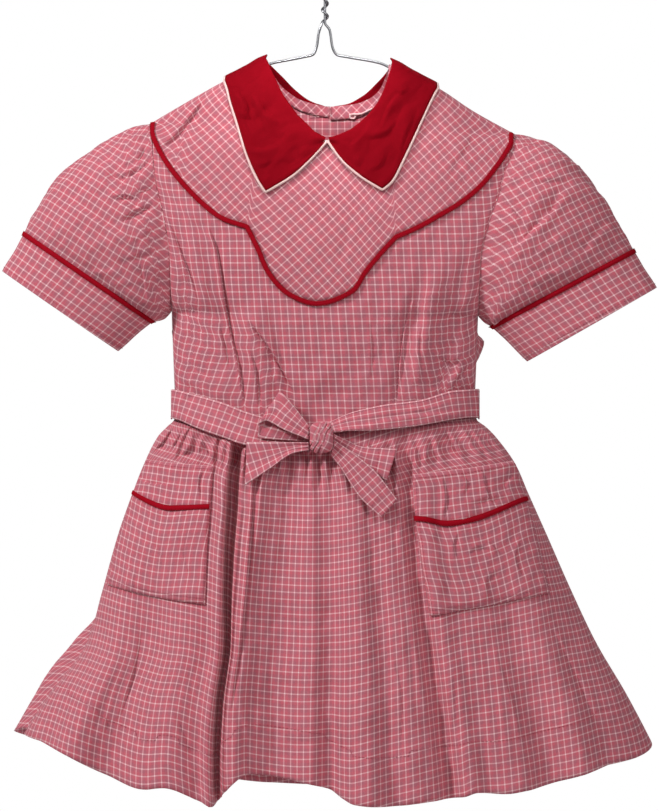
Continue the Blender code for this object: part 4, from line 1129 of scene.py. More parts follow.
COLLAR_ROLL = columns("across out", [
    (0, 4.4), (0.18, 4.6), (0.5, 3), (0.8, 2.6), (1, 2.6), (1.1, 2.3),
])
COLLAR_TIP = 3                # the section at the point


def collar_sections(side, across):
    """Points across each section, from nothing at the neck to one at the outer edge."""
    table = COLLAR[side]
    across = np.asarray(across, float)[:, None]
    x = table["neck_x"] + (table["outer_x"] - table["neck_x"]) * across
    down = table["neck"] + (table["outer"] - table["neck"]) * across
    out = smooth(COLLAR_ROLL["across"], COLLAR_ROLL["out"], across[:, 0])[:, None] + 0 * x
    front = on_body(x, down, out, "front")
    back = on_body(x, down, out + 1.2, "back")
    shoulder = smooth(SHOULDER["x"], SHOULDER["down"], x)
    ridge = place(x, shoulder - out - 0.6, 0.0, "front")
    face = table["face"][None, :, None]
    return np.where(face > 0, front, np.where(face < 0, back, ridge))


def between(sections, corner):
    """Smooth between the sections, with a sharp corner at one of them."""
    line = np.moveaxis(sections, 1, 0)
    points = np.concatenate([finer(line[:corner + 1], 10)[:-1], finer(line[corner:], 8)])
    return np.moveaxis(points, 0, 1)


print("collar sections", len(COLLAR["left"]["neck"]), "and", len(COLLAR["right"]["neck"]))

# %% Collar
COLLAR_FOLDS = [
    (1.6, -1.1, [(-76, 168), (-66, 172), (-56, 168)]),
    (1.4, 1, [(-70, 196), (-58, 200), (-42, 196)]),
    (1.3, -0.9, [(-66, 212), (-56, 214), (-46, 210)]),
    (1.8, 1, [(-62, 150), (-54, 164), (-40, 176)]), (2, 1.2, [(-78, 146), (-70, 158), (-66, 182)]),
    (1.2, 0.8, [(-62, 222), (-54, 224), (-48, 222)]),
    (1.8, -1.2, [(66, 148), (56, 160), (48, 180)]), (1.6, 1.1, [(62, 176), (52, 186), (36, 190)]),
    (1.5, -1, [(40, 172), (34, 184), (22, 196)]), (1.4, 0.9, [(78, 170), (70, 188), (66, 206)]),
    (1.3, 0.9, [(54, 204), (48, 214), (40, 218)]), (2, 1, [(74, 146), (66, 150), (56, 146)]),
]
COLLAR_ROWS = 31
SEAM_ROW = 28                 # the stitches run along this row
share = np.linspace(0, 1, COLLAR_ROWS)
for side, folded in (("left", 1.5), ("right", 0.9)):
    grid = between(collar_sections(side, share), COLLAR_TIP)
    x, down = grid[..., 0], -grid[..., 2]
    inside = np.sin(math.pi * share[:, None]) ** 0.5
    facing = np.where(grid[..., 1] < 0, -1.0, 1.0)
    wave = np.abs(crumple(x, down, 21, 0.8) * inside)
    creased = folds_on(x, down, COLLAR_FOLDS) * inside * (facing < 0) * folded
    seam = 0.5 * np.exp(-((share[:, None] - 0.93) / 0.05) ** 2)
    grid[..., 1] += facing * (wave * 0.8 + seam + 1.1 * creased + 0.7 * np.abs(creased))
    uv = flat_place(grid, bias=20, middle=0)
    piece = cloth(f"collar_{side}", grid, uv, red_cotton, 1.2, flip=side == "right")
    cut(piece, 0.21, 0.11, "folded", ["yoke_front_cloth"], 0.62)
    seam_line = grid[SEAM_ROW] + facing[SEAM_ROW][:, None] * (0, 0.2, 0)
    size = (1.6, 2.4, 0.16)
    stitches(f"collar_stitches_{side}", [seam_line], red_thread, size)

# %% Piping
PIPING_START = (1.9, -36.0, -192.0)    # both cords start together between the collar's halves
for side, sign in (("left", 1), ("right", -1)):
    edge = between(collar_sections(side, (1.0, 1.1)), COLLAR_TIP)
    run = unit(np.gradient(edge[0], axis=0))
    outward = edge[1] - edge[0]
    outward = unit(outward - run * np.sum(outward * run, axis=-1, keepdims=True))
    # Near the centre the cord turns to the front of the edge
    steep, level = np.abs(run[:, 2]), np.abs(run[:, 0])
    forward = np.stack([sign * steep, np.full(len(run), -0.4), -level], axis=-1)
    early = np.clip(1 - np.arange(len(run)) / 14, 0, 1)[:, None]
    cord = edge[0] + 1.2 * unit(outward * (1 - early) + forward * early)
    node = f"collar_piping_{side}"
    tube(node + "_cord", np.vstack([PIPING_START, cord]), 1.3, pale_piping, 10,
         [node], twist=0.6)
print("collars and piping made")

# %% [markdown]
# ## Sleeves
# Each puff sleeve is a tube whose cap is gathered into the armhole and whose lower end is
# eased into a deep turned cuff. The gathers are tall at the seam and soften within a few
# centimetres. The cloth's threads run down the sleeve, so its check slants in the picture.

# %% Measures of the sleeves
# Sleeve sections from the armhole to the cuff seam and to the cuff's edge
SLEEVES = {
    "left": columns("top_x top bottom_x bottom depth", [
        (-154, 175, -134.9, 340, 29), (-168, 178.5, -138, 343.2, 33),
        (-186, 186.5, -141, 345.8, 36), (-207, 199, -144, 347.2, 38),
        (-228, 215.5, -146.5, 348, 38), (-244, 234, -148.6, 348.6, 36),
        (-256, 253, -150.3, 349, 32), (-265, 272, -152, 349.3, 26), (-284, 304.5, -182, 375, 27),
    ]),
    "right": columns("top_x top bottom_x bottom depth", [
        (167, 184, 134.9, 344, 29), (180, 186.5, 138, 347.4, 33), (196, 191, 140.6, 350, 36),
        (212, 201, 142.8, 351.6, 38), (230, 220, 144.4, 352.6, 38), (247, 243, 145.6, 353.3, 36),
        (260, 266, 146.4, 353.7, 32), (272, 287, 147.2, 354, 26), (292, 319, 178, 384, 27),
    ]),
}
SLEEVE_CREASES = {
    "left": columns(CREASE, [
        (-192, 221, -153, 208, 2.2, 3), (-172, 208, -155, 196, 1.8, 2.2),
        (-190, 244, -158, 239, 1.9, 2.4), (-178, 262, -150, 246, 2, 2.6),
        (-222, 252, -180, 276, 3, -2), (-206, 214, -178, 200, 2.4, 1.8),
        (-240, 262, -206, 292, 3, 1.4), (-182, 300, -146, 290, 2.2, 1.8),
        (-196, 322, -160, 318, 2.2, 1.4), (-172, 284, -144, 268, 1.8, 1.8),
        (-250, 272, -232, 262, 2, 1.2),
    ]),
    "right": columns(CREASE, [
        (228, 214, 170, 193, 2.4, 2.8), (216, 224, 172, 279, 4, 2.4),
        (190, 246, 162, 236, 1.9, 2.2), (186, 224, 164, 212, 1.9, 2.2),
        (236, 250, 214, 290, 3, 1.4), (182, 300, 150, 288, 2.2, 1.8),
        (200, 322, 164, 318, 2.2, 1.4), (176, 264, 152, 258, 1.8, 2),
        (252, 270, 226, 262, 2.2, 1.2),
    ]),
}
SLEEVE_FOLDS = {
    "left": [
        (1.5, -2.4, [(-189, 219), (-178, 222.5), (-168, 218), (-154, 208)]),
        (1.3, -1.8, [(-175, 211), (-164, 206), (-158, 197)]),
        (1, -1.3, [(-170, 191.5), (-164, 190), (-158, 187)]),
        (1.3, -1.5, [(-190, 241.5), (-176, 240), (-163, 242)]),
        (1.3, -1.3, [(-166, 236), (-151, 231)]),
        (1.4, -1.7, [(-178, 261), (-165, 254.5), (-150, 246)]),
        (1.2, 1.1, [(-178, 246), (-158, 253)]),
        (2.6, 1.3, [(-228, 241), (-197, 261), (-158, 287)]),
        (1.3, -1.1, [(-160, 302), (-158, 314), (-156, 332)]),
        (1.4, 1, [(-216, 300), (-200, 305), (-182, 304)]),
        (1.2, -0.9, [(-212, 226), (-202, 234), (-188, 238)]),
    ],
    "right": [
        (1.8, 3, [(168, 198), (181, 196), (193, 199), (203, 204), (213, 208.5), (226, 212)]),
        (1.2, -1.2, [(176, 227), (194, 226), (216, 223)]),
        (2.6, -2.2, [(217, 226), (208, 238), (199, 252), (186, 265), (173, 279), (164, 284)]),
        (2.4, -1.6, [(252, 261), (236, 275), (225, 290)]),
        (1.2, -0.9, [(214, 269), (198, 278), (182, 293)]),
        (1.2, 0.9, [(166, 300), (183, 306.5), (201, 304.5), (213, 297)]),
        (1.2, 1.1, [(156, 228), (167, 222)]), (1.4, 1, [(159, 246), (173, 263)]),
        (1.2, 0.9, [(170, 212), (186, 209)]),
    ],
}
SLEEVE_COLUMNS = 24           # gathers round the cap
CUFF_SEAM = 7                 # the row of the sleeve table at the cuff seam
CAP_GATHER = 2.4              # height of the gathers round the cap
print("sleeve sections", [len(table["top"]) for table in SLEEVES.values()])

# %% Rings of a sleeve
def worn_marks(side, row, turn, x, down):
    """Creases, folds and crumple of a sleeve, fading out at its two seams."""
    loose = min(1.0, row / 0.3) * min(1.0, max(0.0, CUFF_SEAM - 0.25 - row) / 0.6)
    behind = np.where(np.sin(turn) >= 0, 1.0, 0.85)
    marks = 0.4 * creases(x, down, SLEEVE_CREASES[side]) + folds_on(x, down, SLEEVE_FOLDS[side])
    marks = behind * marks * np.abs(np.sin(turn)) ** 0.4
    return loose * (marks + crumple(x + 90 * np.sin(turn), down, 31, 0.5))


def gathers_round(row, turn):
    """Gathers, tall at the cap's seam, and small ones where the cloth is eased into the cuff."""
    cap = (0.5 + 0.5 * np.cos(turn)) ** 0.7
    uneven = 0.75 + 0.3 * np.sin(turn * 5.3 + 1)
    tall = CAP_GATHER * bump((row - 1.3) / 1.5) * cap * uneven * np.cos(turn * SLEEVE_COLUMNS / 2)
    tall = tall * (1 - 0.9 * np.exp(-(np.sin(turn / 2) / 0.11) ** 2))
    return tall + 0.45 * bump((row - 6.4) / 0.8) * np.cos(turn * 13 + 0.6 * np.sin(3 * turn))


def sleeve_ring(side, row, angles, out=0.0, plain=False):
    """A ring of points round the sleeve: a tilted oval, with or without its gathers."""
    table = SLEEVES[side]
    steps = np.arange(len(table["top"]))
    top_x, top, bottom_x, bottom, depth = (smooth(steps, line, row) for line in table.values())
    turn = np.radians(angles)
    half_x, half_down = (top_x - bottom_x) / 2, (top - bottom) / 2
    x = (top_x + bottom_x) / 2 + half_x * np.cos(turn)
    down = (top + bottom) / 2 + half_down * np.cos(turn)
    at_armhole = max(0.0, 1 - row / 2) ** 2
    if at_armhole > 0:
        first, last = table["top_x"][0], table["bottom_x"][0]
        straight = (first + last) / 2 + (first - last) / 2 * np.cos(turn)
        x = x + (side_edge(arm_row(side, np.asarray(angles)), side) - straight) * at_armhole
    reach = out
    if not plain:
        reach = reach + gathers_round(row, turn)
        if row < CUFF_SEAM - 0.13:
            reach = reach + worn_marks(side, row, turn, x, down)
    length = np.hypot(half_x, half_down)
    x = x + reach * np.cos(turn) * half_x / length
    down = down + reach * np.cos(turn) * half_down / length
    return np.stack([x, -(depth + reach) * np.sin(turn), -down], axis=-1)


ring = sleeve_ring("left", 4, np.arange(0, 360, 10))
print("left sleeve is", round(float(np.ptp(ring[:, 1])), 1), "mm deep in the middle")

# %% Flat places on the sleeves
def closed_ring(rows):
    return np.concatenate([rows, rows[:, :1]], axis=1)


def ring_place(rows, around):
    """Cloth place round a tube, in checks: a set width round it, and the run along it."""
    closed = closed_ring(rows)
    share = running(steps_of(closed, axis=1), axis=1)
    share = (share / share[:, -1:]).mean(axis=0)
    run = running(steps_of(closed))
    return np.stack([np.broadcast_to(share * around, run.shape), run], axis=-1) / CHECK


def sleeve_place(rows, sign):
    """Cloth place of a sleeve cut flat: threads square to the cuff, carried over the top line."""
    half = rows.shape[1] // 2
    closed = closed_ring(rows)
    flat = np.stack([closed[..., 0], -closed[..., 2]], axis=-1)
    step = steps_of(closed, axis=1)
    front, back = running(step[:, :half], axis=1), np.cumsum(step[:, half:], axis=1)
    reach = np.concatenate([front - front[:, -1:] / 2, back[:, -1:] / 2 - back], axis=1)
    across = unit(flat[:, half] - flat[:, 0])
    spots = (flat[:, half] + flat[:, 0])[:, None] / 2 + reach[..., None] * across[:, None]
    along_cuff = across[-1]
    up_sleeve = sign * np.array([-along_cuff[1], along_cuff[0]])
    u, v = spots @ along_cuff, spots @ up_sleeve
    u[:, half + 1:] = 2 * u[:, :1] - u[:, half + 1:]
    return np.stack([u, -v], axis=-1) / CHECK


print("a closed ring of", len(ring), "points has", closed_ring(ring[None]).shape[1])

# %% Sleeves
ANGLES = np.arange(SLEEVE_COLUMNS * 12) * 360 / (SLEEVE_COLUMNS * 12)
SIDES = {"left": -1, "right": 1}
for side, sign in SIDES.items():
    rows = np.concatenate([np.linspace(0, 3, 48)[:-1], np.linspace(3, CUFF_SEAM - 0.02, 26)])
    grid = np.stack([sleeve_ring(side, row, ANGLES) for row in rows])
    grid[0, :, 0] += sign * 0.2
    uv = sleeve_place(grid, sign)
    piece = cloth(f"sleeve_{side}", grid, uv, flip=side == "right", ring=True)
    cut(piece, 0.33, 0.13, "gathered", ["yoke_front_cloth", f"bodice_back_{side}_cloth"], 0.9)

# %% Cuffs
CUFF_ROWS = CUFF_SEAM + np.array([0.02, 0.05, 0.15, 0.3, 0.45, 0.6, 0.75, 0.88, 0.95, 0.985, 1])
for side in SIDES:
    grid = np.stack([sleeve_ring(side, row, ANGLES, 0.25 * math.sin(9 * row)) for row in CUFF_ROWS])
    dents = 0.3 * np.abs(crumple(grid[..., 0], grid[..., 2], 41, 1.0))
    grid[..., 1] += np.where(grid[..., 1] < 0, -1, 1) * dents
    uv = ring_place(grid, 290)
    piece = cloth(f"cuff_{side}", grid, uv, wall=1.3, flip=side == "right", ring=True)
    cut(piece, 0.265, 0.04, "folded", [f"sleeve_{side}_cloth"])
    hem_line = sleeve_ring(side, CUFF_SEAM + 0.9, np.append(ANGLES, 360), 0.75, plain=True)
    size = (2.2, 3.2, 0.2)
    stitches(f"cuff_edge_stitches_{side}", [hem_line], rose_thread, size)

# %% Tapes over the cuff seams
TAPE_ROWS = ((-2.4, 0.8), (-2.1, 1.4), (0, 1.6), (1.9, 1.2), (2.2, 0.6))    # along, rise
for side in SIDES:
    seam, above, below = (sleeve_ring(side, CUFF_SEAM + at, ANGLES, plain=True)
                          for at in (0, -0.12, 0.08))
    proud = sleeve_ring(side, CUFF_SEAM, ANGLES, 1.0, plain=True) - seam
    upward, onward = unit(above - seam), unit(below - seam)
    grid = np.stack([seam + abs(along) * (upward if along < 0 else onward) + proud * rise
                     for along, rise in TAPE_ROWS])
    piece = cloth(f"cuff_trim_{side}", grid, ring_place(grid, 262), red_tape, 0.6,
                  flip=side == "right", ring=True)
    cut(piece, 0.275, 0.01, "laid", [f"cuff_{side}_cloth", f"sleeve_{side}_cloth"], 0.48)
    lines = closed_ring(grid[[1, 3]] + proud * 0.25)
    stitches(f"cuff_tape_stitches_{side}", lines, red_thread, TAPE_STITCH)

# %% [markdown]
# ## Skirt
# A wide straight piece of cloth is gathered into the waist, so the threads crowd together
# there and open out to the hem. Guide lines run down the panel; between them the cloth
# stands out in soft pleats, and small gathers fade a hand's width below the belt. A deep hem
# is turned up inside: its double cloth stands a little proud below a line of stitches.

# %% Measures of the skirt
SKIRT_LEVELS = ("waist", "top", "band", "end", "hem")
HEM_FRONT = columns("x down", [
    (-261, 710.5), (-223, 727.3), (-194, 742), (-157, 755), (-140, 753.3), (-108, 765),
    (-97, 769.3), (-90, 761), (-80, 750), (-66, 741.5), (-22, 748.5), (4, 755), (15, 762.5),
    (26, 767.5), (53, 769), (91, 765), (119, 761.5), (133, 757.5), (153, 758.8), (176, 756),
    (205, 748.7), (243, 736.7), (288, 718.3),
])
HEM_BACK = columns("x down", [
    (-261, 707), (-250, 714), (-235, 723), (-223, 727), (-157, 748), (-100, 755), (-62, 758),
    (9, 764), (60, 763), (120, 758), (176, 750), (243, 733), (288, 718),
])
# Soft folds down the skirt: place and half-width in columns, and how far the
# cloth stands out at each level
FRONT_FOLDS = columns("column half waist top band end hem", [
    (5.5, 2.4, 0, 0, 0, 3.75, 13.5),
    (8.8, 2.2, 0, 0, 0, -2.25, -9),
    (12.5, 2.5, 0, 0, 0, 1.5, 8.25),
    (16.8, 1.8, 1, 7, 9, 8.25, 9.75),
    (19, 1.6, -2, -14, -17, -14.25, -11),
    (20.9, 1.2, 0, 3, 4, 3.75, 3),
    (23.4, 2.2, 0, 4, 6, 6.75, 7.5),
    (27.5, 3.2, 0, -3, -6, -7.5, -10.5),
    (31.8, 1.8, 0, -1, -3, -6, -10.5),
    (35.5, 2.8, 0, 3, 6, 8.25, 12.75),
    (40, 2.6, 0, 0, 2, 3.75, 6.75),
    (43, 1.4, -1, -5, -8, -8.25, -10.5),
    (45, 1.6, 0, 1, 3, 3.75, 6),
    (48.5, 2.4, 0, 0, 0, 0, 6),
    (51.5, 2.2, 0, 0, 0, -2.25, -8.25),
    (55, 2.6, 0, 0, 0, 2.25, 10.5),
])
BACK_FOLDS = columns("column half waist top band end hem", [
    (4, 2.4, 0, 1, 3, 6, 12),
    (8, 2.2, 0, -3, -7, -11, -15),
    (12, 2.4, 0, 4, 8, 12, 16),
    (16, 2, 0, -5, -9, -13, -17),
    (20, 2.6, 0, 4, 8, 13, 18),
    (24.5, 2.2, 0, -4, -8, -12, -16),
    (28, 2.4, 0, 5, 9, 13, 18),
    (32.5, 2.2, 0, -3, -7, -10, -14),
    (36.5, 2.4, 0, 2, 5, 8, 13),
])
GATHER_HEIGHT = columns("level open_front under_pocket back", [
    (0, 0.3, 0.3, 0.3), (0.35, 0.9, 0.8, 0.9), (0.5, 3.2, 2.6, 3.2), (0.75, 4.2, 2.2, 4.2),
    (1, 3.2, 0.3, 3.4), (2, 1.5, 0, 2), (3, 0.5, 0, 0.8), (4, 0, 0, 0),
])
print("front folds", len(FRONT_FOLDS["column"]), "and back folds", len(BACK_FOLDS["column"]))

# %% The skirt's surface
def body_edge(x, down):
    """Half the body's width on the side where x lies."""
    return np.where(x > 0, side_edge(down, "right"), -side_edge(down, "left"))


def skirt_lines(column, level, lines, hem, face):
    """The guide lines at any column and level, as a share of the body's width and down."""
    known_x = [smooth(lines["column"], lines[f"x_{name}"], column) for name in SKIRT_LEVELS]
    heights = [smooth(lines["column"], lines[name], column) for name in SKIRT_LEVELS[:-1]]
    if face == "front":
        heights[0] = waist_seam(known_x[0])
    known_down = np.stack(heights + [smooth(hem["x"], hem["down"], known_x[-1])])
    known_x = np.stack(known_x)
    steps = np.arange(len(SKIRT_LEVELS))
    shares = np.clip(known_x / body_edge(known_x, known_down), -1, 1)
    return smooth(steps, shares, level), smooth(steps, known_down, level)


def pleats(column, level, folds):
    """How far the soft folds of a table stand out."""
    out = np.zeros((len(level), len(column)))
    steps = np.arange(len(SKIRT_LEVELS))
    for i, middle in enumerate(folds["column"]):
        heights = np.array([folds[name][i] for name in SKIRT_LEVELS])
        ridge = bump((column - middle) / folds["half"][i])
        out += smooth(steps, heights, level)[:, None] * ridge
    return out


def skirt_surface(column, level, lines, hem, folds, face, gathers):
    """Points of a skirt panel: x, down, and how far each stands out from the middle."""
    share, down = skirt_lines(column, level, lines, hem, face)
    last = lines["column"][-1]
    # The columns next to a side seam are drawn in evenly from the fourth one
    from_side = ramp(np.minimum(column, last - column), 0, 3)
    second = np.where(column < last / 2, 3, last - 3)
    inner = np.abs(skirt_lines(second, level, lines, hem, face)[0])
    near_side = np.sign(column - last / 2) * (1 - (1 - inner) * from_side ** 2)
    share = np.where(from_side < 1, near_side, share)
    x = share * body_edge(share, down)
    uneven = 0.75 + 0.25 * np.sin(1.7 * column)
    softer = 1 - (0.65 if face == "front" else 0.3) * ramp(level, 0.9, 0.8)[:, None]
    turn = np.pi * column + 1.1 * np.sin(0.83 * column) + 0.7 * np.sin(2.1 * column + 1)
    out = pleats(column, level, folds) + gathers * uneven * softer * np.cos(turn)
    free = np.sqrt(1 - np.abs(share) ** SIDE_POWER)
    return x, down, body_depth(x, down, face) + out * np.clip(free * 1.6, 0, 1)


print("pleats at the hem", pleats(np.arange(0.0, 60, 12), np.array([4.0]), FRONT_FOLDS)[0].round(1))

# %% Front and back of the skirt
def soft_mask(column, first, last):
    """One between two columns, falling to nothing just outside them."""
    return np.clip((column - first + 0.6) / 1.2, 0, 1) * np.clip((last + 0.6 - column) / 1.2, 0, 1)


def skirt_front(column, level):
    """The front, with lower gathers where a pocket lies over it."""
    pocket = np.maximum(soft_mask(column, 2, 15), soft_mask(column, 44, 58))
    open_front, covered = (smooth(GATHER_HEIGHT["level"], GATHER_HEIGHT[name], level)[:, None]
                           for name in ("open_front", "under_pocket"))
    gathers = open_front + (covered - open_front) * pocket
    return skirt_surface(column, level, SKIRT_LINES, HEM_FRONT, FRONT_FOLDS, "front", gathers)


BACK_SKIRT_COLUMNS = 40
BACK_LEVELS = {"waist": BACK_WAIST, "top": 478, "band": 520, "end": 598, "hem": 720}


def back_lines():
    """Guide lines of the back, which run straight down at a set share of its width."""
    count = BACK_SKIRT_COLUMNS
    column = np.array([0, 3, 10, 20, 30, count - 3, count])
    share = np.interp(column, (0, 3, count - 3, count), (-1, -0.955, 0.955, 1))
    lines = {"column": column.astype(float)}
    for name, down in BACK_LEVELS.items():
        lines[f"x_{name}"] = share * body_edge(share, down)
        lines[name] = np.full(len(column), float(down))
    return lines


def skirt_back(column, level):
    gathers = smooth(GATHER_HEIGHT["level"], GATHER_HEIGHT["back"], level)[:, None]
    lines = back_lines()
    x, down, out = skirt_surface(column, level, lines, HEM_BACK, BACK_FOLDS, "back", gathers)
    return swing(x, down), down, out


print("back lines", back_lines()["x_hem"].round(), "mm at the hem")

# %% Worn marks and check of the skirt
SKIRT_FOLDS = [
    (1.6, 2.6, [(-82, 446), (-83, 470), (-86, 520), (-90, 620), (-96, 700)]),
    (1.8, 3, [(-62, 462), (-63, 500), (-66, 560), (-72, 620), (-82, 690)]),
    (1.3, 2, [(-132, 438), (-140, 452), (-150, 463)]),
    (1.4, 2.2, [(-124, 440), (-128, 450), (-134, 460)]),
    (1.6, 2.6, [(-114, 444), (-117, 457), (-127, 470)]), (1.2, 1.6, [(-105, 446), (-110, 464)]),
    (1.2, -1.8, [(-106, 454), (-98, 470)]), (1.3, 1.6, [(-96, 448), (-97, 466), (-95, 486)]),
    (1.3, 2.2, [(92, 446), (91, 458), (88, 476)]),
    (1.4, -2.4, [(106, 446), (111, 455), (121, 472)]),
    (1.5, -2, [(76, 442), (78, 466), (81, 488)]), (1.2, -1.5, [(126, 448), (136, 463)]),
    (1.2, 1.5, [(100, 442), (99, 456), (104, 470)]), (1.1, 1.2, [(140, 450), (150, 466)]),
    (1.2, 1.4, [(44, 446), (46, 462), (44, 484)]), (1.2, -1.4, [(58, 444), (60, 466), (63, 486)]),
    (1.4, 1.2, [(22, 602), (32, 585), (44, 566)]),
    (1.8, 1.6, [(66, 512), (80, 545), (90, 594), (93, 640)]),
    (1.4, 1.2, [(-130, 690), (-124, 706), (-117, 724)]),
    (1.3, 1, [(-196, 690), (-189, 702), (-180, 714)]),
    (1.4, 1.1, [(8, 690), (14, 712), (10, 740)]), (1.4, 1.2, [(150, 640), (166, 690), (176, 730)]),
    (1.6, -1.3, [(196, 610), (220, 660), (240, 706)]), (1.4, 1, [(60, 640), (66, 680), (64, 730)]),
    (1.3, -1, [(-30, 560), (-26, 600), (-20, 640)]),
    (1.3, 1, [(110, 650), (112, 690), (104, 730)]),
    (1.5, 1.3, [(-160, 620), (-168, 660), (-182, 700)]),
    (1.2, -0.9, [(-44, 700), (-24, 712), (-4, 706)]),
]
SKIRT_CREASES = columns(CREASE, [
    (-88, 640, -62, 742, 3, 1.6), (-20, 470, -26, 560, 2.8, 1.6), (26, 466, 30, 548, 2.8, 1.6),
    (-48, 640, -40, 750, 3.4, 1.6), (20, 620, 24, 748, 3.2, 1.8), (140, 640, 156, 742, 3.4, 1.6),
    (204, 620, 246, 728, 3.2, 1.6), (-170, 620, -206, 726, 3.2, 1.6),
    (-140, 600, -150, 700, 3, 1.4), (58, 470, 62, 560, 2.4, 1.4), (70, 600, 80, 700, 3, 1.4),
    (-120, 640, -112, 690, 2.4, 1),
])
HEM_DEEP = 44                 # millimetres


def turned_hem(above_hem):
    """The double cloth of the hem stands proud, with a groove at its line of stitches."""
    proud = np.clip((HEM_DEEP + 1.5 - above_hem) / 3, 0, 1)
    return 0.5 * proud - 0.35 * np.exp(-((above_hem - HEM_DEEP) / 1.6) ** 2)


def skirt_place(grid, face):
    """Cloth place of a skirt panel: in front the check keeps half its evenness at the hem."""
    uv = hanging_place(grid, 15) if face == "front" else flat_place(grid)
    kept = 0.5 if face == "front" else 0.0
    run = steps_of(grid, axis=1)
    along_hem = running(run[-6:].mean(axis=0))
    at_hem = (along_hem / along_hem[-1] - 0.5) * run[-1].sum() / CHECK
    uv[..., 0] = kept * at_hem + (1 - kept) * uv[..., 0]
    return uv


print("the hem stands", turned_hem(np.array([20.0, 44, 60])).round(2).tolist(), "mm proud")

# %% Both skirt panels
SKIRT_COLUMNS = 60
LEVELS = np.concatenate([np.linspace(0, 1.0, 30)[:-1], np.linspace(1.0, 3.0, 34)[:-1],
                         np.linspace(3.0, 4.0, 42)])
PANELS = (
    ("front", skirt_front, SKIRT_COLUMNS, 51, SKIRT_FOLDS, 0.64, "bodice_front_cloth"),
    ("back", skirt_back, BACK_SKIRT_COLUMNS, 53, (), 0.6, "bodice_back_left_cloth"),
)
for face, surface, count, seed, folds, width, above in PANELS:
    column = np.linspace(0, count, count * FINE + 1)
    x, down, out = surface(column, LEVELS)
    down[0] += 0.1
    from_side = ramp(np.minimum(column, count - column), 0, 1.5)
    below_belt = ramp(LEVELS, 0.35, 0.3)[:, None]
    hidden = 1
    if face == "front":
        bare = 1 - np.maximum(soft_mask(column, 3, 15), soft_mask(column, 44, 57))
        hidden = np.where(((LEVELS > 0.8) & (LEVELS < 3.1))[:, None], bare, 1)
    above_hem = down[-1] - down
    marks = below_belt * hidden * worn(x, down, seed, 0.5, SKIRT_CREASES, 0.7, folds)
    marks = marks + turned_hem(above_hem)
    grid = place(x, down, clear(out + from_side * marks), face)
    piece = cloth(f"skirt_{face}", grid, skirt_place(grid, face), flip=face == "back")
    cut(piece, width, 0.33, "gathered", [above], 0.82)
    row = np.argmin(np.abs(above_hem - HEM_DEEP), axis=0)
    line = grid[row, np.arange(len(column))] + (0, 0.45 if face == "back" else -0.45, 0)
    size = (2.6, 3.6, 0.24)
    stitches(f"hem_stitches_{face}", [line[4:-4]], rose_thread, size)
    print(face, "skirt", grid.shape[0] * grid.shape[1], "points")

# %% [markdown]
# ## Pockets
# Two patch pockets lie on the skirt with a band across each top and red tape under it. Their
# points are the skirt's own, lifted off it, so they follow its pleats. A pocket that has
# been used has fine crinkles, a stitched edge and a slightly open mouth.

# %% Measures of the pockets
POCKET_FOLDS = [
    (1.3, 1.4, [(103, 486), (105.5, 505), (103, 520)]),
    (1.1, 1.3, [(138, 482), (142, 500), (148, 511)]),
    (1, -1, [(122, 508), (139, 505), (158, 502)]),
    (1.1, 1.1, [(116, 534), (112, 545), (114, 556)]), (1, 1, [(143, 543), (152, 551)]),
    (1, -0.9, [(124, 552), (134, 546), (146, 549)]),
    (1.1, 1, [(118, 482), (124, 490), (121, 500)]),
    (1.1, -1, [(166, 484), (158, 492), (162, 500)]),
    (1.2, 0.9, [(150, 566), (140, 578), (142, 592)]),
    (1, 0.9, [(170, 540), (166, 556), (172, 572)]),
    (1.2, 1.2, [(-106, 480), (-110, 490), (-108, 506)]),
    (1, 0.9, [(-164, 484), (-150, 492), (-130, 490)]),
    (1.1, 0.9, [(-160, 540), (-146, 548), (-140, 562)]),
    (1.1, -0.9, [(-118, 530), (-122, 552), (-116, 574)]),
    (1, 0.8, [(-176, 560), (-166, 572), (-168, 586)]),
]
POCKET_CREASES = columns(CREASE, [
    (-176, 545, -150, 562, 1.6, 0.8), (-140, 530, -118, 548, 1.5, 0.7),
    (-160, 478, -120, 486, 1.8, 0.8), (104, 494, 128, 505, 1.5, 0.8),
    (132, 500, 152, 512, 1.4, 0.9), (150, 486, 166, 497, 1.5, 0.8), (112, 548, 138, 570, 1.6, 0.8),
    (150, 540, 176, 556, 1.6, 0.8), (96, 560, 112, 592, 1.8, 0.8),
])
POCKET_CUTS = {"pocket_band_left": (0.098, 0.032), "pocket_band_right": (0.105, 0.044),
               "pocket_left": (0.1, 0.08), "pocket_right": (0.106, 0.09)}
POCKET_COLUMNS = {"left": (3, 15), "right": (44, 57)}    # of the front skirt


def lifted(column, level, out):
    """Points lifted straight off the front skirt."""
    here = place(*skirt_front(column, level), "front")
    left, right = (place(*skirt_front(column + s, level), "front") for s in (-0.5, 0.5))
    upper, lower = (place(*skirt_front(column, level + s), "front") for s in (-0.05, 0.05))
    return here + out[..., None] * unit(np.cross(lower - upper, right - left))


def pocket_columns(side):
    first, last = POCKET_COLUMNS[side]
    return np.linspace(first, last, (last - first) * 8 + 1)


print("points across the left pocket", len(pocket_columns("left")))

